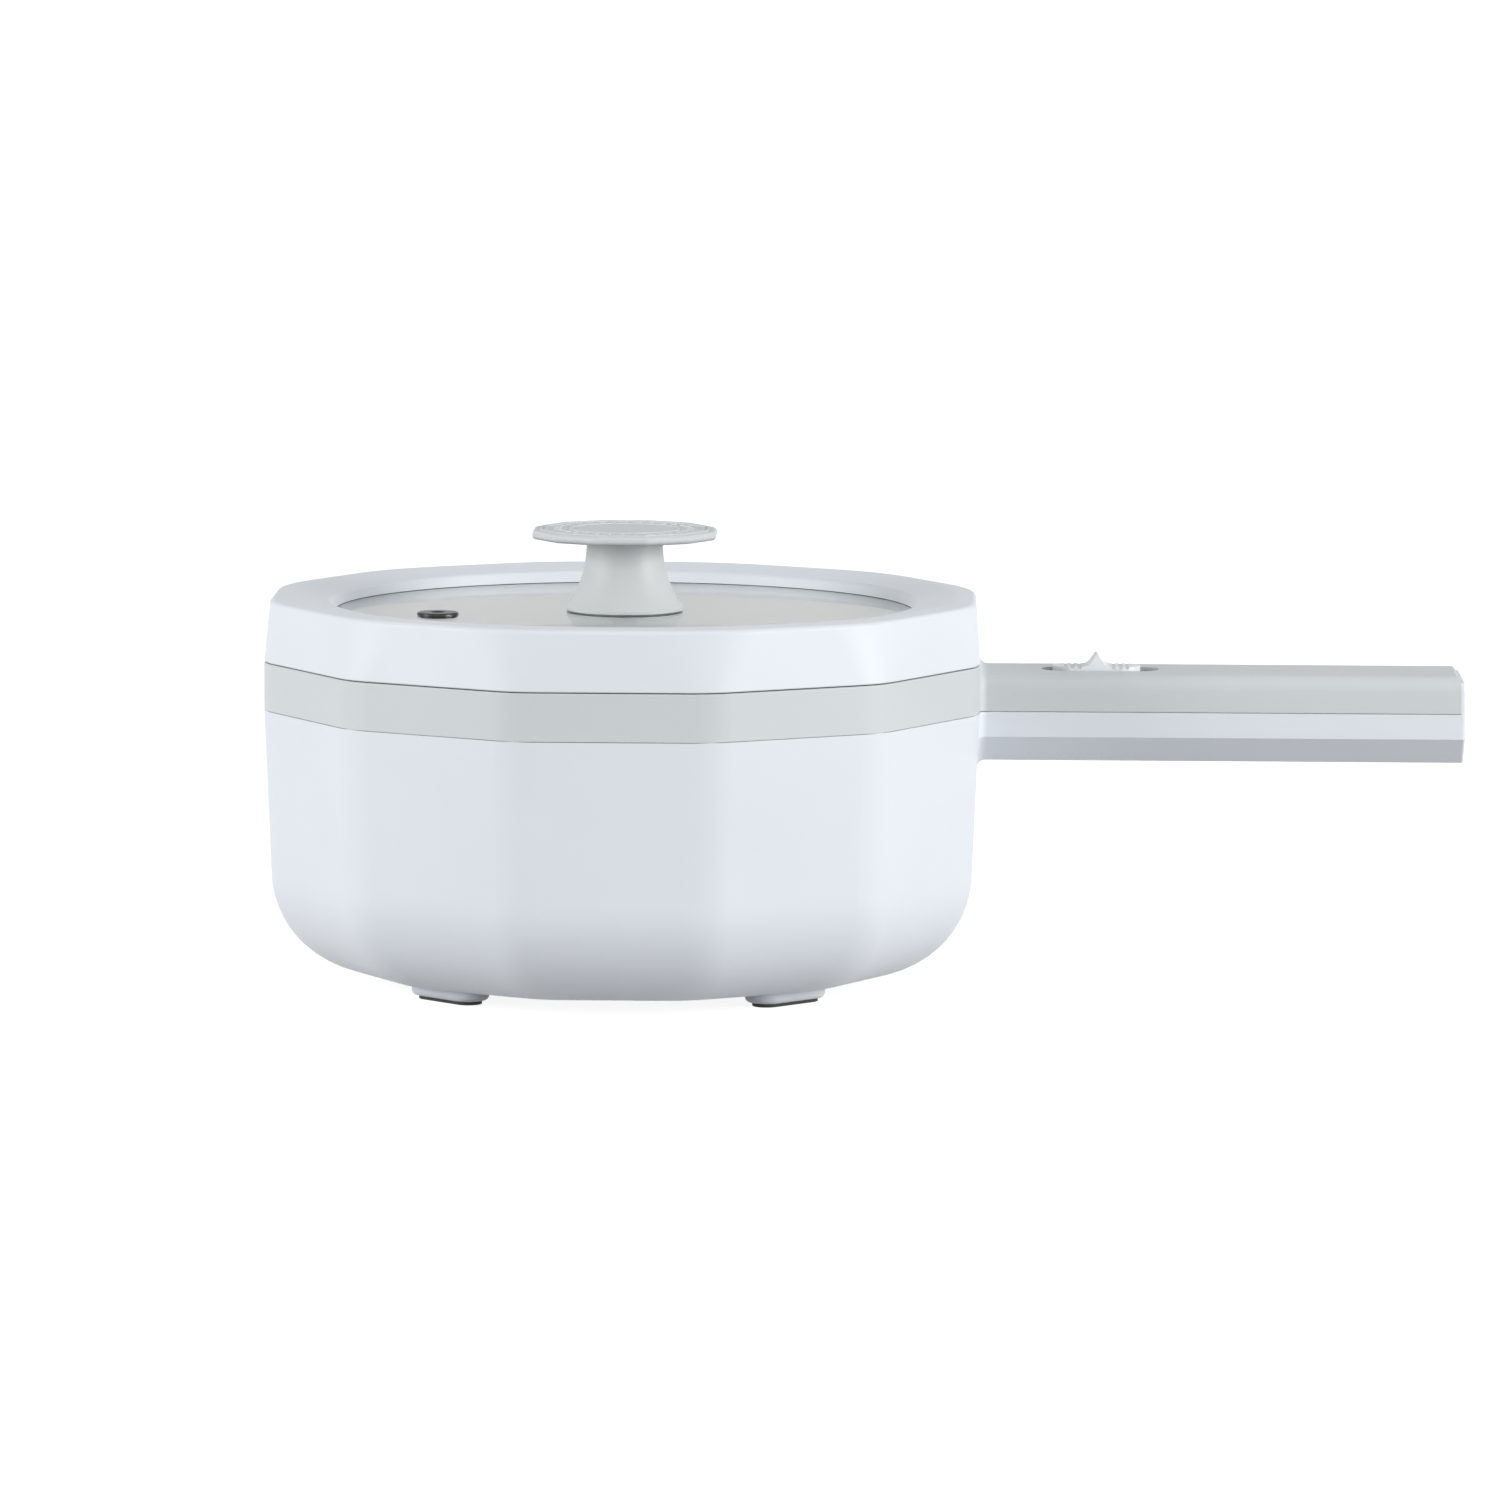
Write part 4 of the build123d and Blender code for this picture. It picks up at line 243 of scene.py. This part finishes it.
SLOT_MATERIALS = {
    "white_plastic": moulded_plastic(
        "white_plastic", WHITE, roughness=0.46, grain=0.6 * MM, depth=0.01 * MM
    ),
    "grey_plastic": moulded_plastic(
        "grey_plastic", GREY, roughness=0.42, grain=0.5 * MM, depth=0.02 * MM
    ),
    "dark_plastic": moulded_plastic(
        "dark_plastic", DARK_PLASTIC, roughness=0.45, grain=0.5 * MM, depth=0.03 * MM
    ),
    "ceramic": moulded_plastic(
        "ceramic", CERAMIC, roughness=0.6, grain=0.8 * MM, depth=0.03 * MM
    ),
    "steel": plated_steel("steel", STEEL, roughness=0.26),
    "brass": plated_steel("brass", BRASS, roughness=0.28),
    "cast_aluminium": plated_steel("cast_aluminium", CAST_ALUMINIUM, roughness=0.42),
    "dark_rubber": soft_rubber("dark_rubber", DARK_RUBBER, roughness=0.65),
    "silicone": soft_rubber("silicone", SILICONE, roughness=0.5),
    "glass": tempered_glass("glass", GLASS, GLASS_SHADOW),
    "pot_coating": flecked_coating("pot_coating", COATING, COATING_FLECK),
    "wire_brown": soft_rubber("wire_brown", BROWN, roughness=0.5),
    "wire_blue": soft_rubber("wire_blue", BLUE, roughness=0.5),
    "wire_green": soft_rubber("wire_green", GREEN, roughness=0.5),
}

knob_plastic = moulded_plastic(
    "knob_plastic", KNOB_GREY, roughness=0.46, grain=0.5 * MM, depth=0.02 * MM
)
button_plastic = moulded_plastic(
    "button_plastic", BUTTON_WHITE, roughness=0.40, grain=0.5 * MM, depth=0.01 * MM
)

# Nodes whose tone in the photograph differs from that of their slot.
OWN_MATERIALS = {
    "knob_stem": knob_plastic,
    "knob_disc": knob_plastic,
    "knob_washer": SLOT_MATERIALS["silicone"],
    "switch_button": button_plastic,
    # the vent eyelet's near-black colour is painted shade and painted dark reflection on a
    # plain steel eyelet
    "vent_eyelet": plated_steel("steel_painted_dark", STEEL_PAINTED_DARK, roughness=0.32),
}

for row in frame["record"]["subparts"]:
    material = OWN_MATERIALS.get(row["node"], SLOT_MATERIALS[row["material_slot"]])
    slots = frame["nodes"][row["node"]].data.materials
    slots.clear()
    slots.append(material)

# ---------------------------------------------------------------- studio

LIT_POINT = Vector((0.02, 0, 0.07))
SIDE_BOX = (1.4, 1.0)
FRONT_BOX = (1.6, 0.9)
LEFT_POWER = 26
RIGHT_POWER = 33
FRONT_POWER = 4.3

WORLD_LIGHT = 0.485
WORLD_COLOUR = (0.95, 0.98, 1.0)
BACKGROUND = 1.0            # white, as the camera sees it
BACKGROUND_IN_GLOSS = 0.74  # the same background, pale grey at the low angle of reflections

FLOOR_SIZE = 60.0
FLOOR_GREY = 0.45           # how much of the lamps' light the floor throws back
FLOOR_ROUGHNESS = 0.9
FLOOR_GLOW = 0.88           # brings the lit floor up to white and keeps the shadow


def softbox(name, place, size, power):
    data = bpy.data.lights.new(name, "AREA")
    data.shape = "RECTANGLE"
    data.size, data.size_y = size
    data.energy = power
    light = bpy.data.objects.new(name, data)
    light.location = place
    light.rotation_euler = (LIT_POINT - Vector(place)).to_track_quat("-Z", "Y").to_euler()
    bpy.context.scene.collection.objects.link(light)


def arithmetic(tree, operation, *values):
    """Math node whose inputs are plain numbers or other nodes' outputs."""
    node = tree.nodes.new("ShaderNodeMath")
    node.operation = operation
    for socket, value in zip(node.inputs, values):
        if isinstance(value, bpy.types.NodeSocket):
            tree.links.new(value, socket)
        else:
            socket.default_value = value
    return node.outputs[0]


def shown_rays(tree):
    """1 for rays that show the background: camera, reflection and glass rays."""
    rays = tree.nodes.new("ShaderNodeLightPath")
    total = rays.outputs["Is Camera Ray"]
    for name in ("Is Glossy Ray", "Is Transmission Ray"):
        total = arithmetic(tree, "MAXIMUM", total, rays.outputs[name])
    return total


def make_world():
    """Even light on the object, and a white background for the rays that show it."""
    world = bpy.data.worlds.new("studio")
    world.use_nodes = True
    bpy.context.scene.world = world
    tree = world.node_tree
    light_part = tree.nodes["Background"]
    light_part.inputs["Color"].default_value = (*WORLD_COLOUR, 1)
    light_part.inputs["Strength"].default_value = WORLD_LIGHT
    shown_part = tree.nodes.new("ShaderNodeBackground")
    shown_part.inputs["Color"].default_value = (1, 1, 1, 1)
    camera_ray = tree.nodes.new("ShaderNodeLightPath").outputs["Is Camera Ray"]
    extra = BACKGROUND - BACKGROUND_IN_GLOSS
    strength = arithmetic(tree, "MULTIPLY_ADD", camera_ray, extra, BACKGROUND_IN_GLOSS)
    tree.links.new(strength, shown_part.inputs["Strength"])
    mix = tree.nodes.new("ShaderNodeMixShader")
    tree.links.new(shown_rays(tree), mix.inputs[0])
    tree.links.new(light_part.outputs[0], mix.inputs[1])
    tree.links.new(shown_part.outputs[0], mix.inputs[2])
    tree.links.new(mix.outputs[0], tree.nodes["World Output"].inputs["Surface"])


def floor_material():
    material = bpy.data.materials.new("floor")
    material.use_nodes = True
    tree = material.node_tree
    surface = tree.nodes["Principled BSDF"]
    surface.inputs["Roughness"].default_value = FLOOR_ROUGHNESS
    surface.inputs["Specular IOR Level"].default_value = 0.0
    surface.inputs["Base Color"].default_value = (FLOOR_GREY, FLOOR_GREY, FLOOR_GREY, 1)
    surface.inputs["Emission Color"].default_value = (1, 1, 1, 1)
    glow = arithmetic(tree, "MULTIPLY", shown_rays(tree), FLOOR_GLOW)
    tree.links.new(glow, surface.inputs["Emission Strength"])
    return material


def make_floor():
    """Pale floor that keeps the shadow and is white where nothing shades it."""
    mesh = bpy.data.meshes.new("floor")
    half = FLOOR_SIZE / 2
    corners = [(-half, -half, 0), (half, -half, 0), (half, half, 0), (-half, half, 0)]
    mesh.from_pydata(corners, [], [(0, 1, 2, 3)])
    mesh.materials.append(floor_material())
    floor = bpy.data.objects.new("floor", mesh)
    bpy.context.scene.collection.objects.link(floor)


softbox("left_softbox", (-2.0, -0.85, 0.64), SIDE_BOX, LEFT_POWER)
softbox("right_softbox", (2.1, -0.85, 0.64), SIDE_BOX, RIGHT_POWER)
softbox("front_softbox", (-0.2, -2.6, 0.75), FRONT_BOX, FRONT_POWER)
make_world()
make_floor()
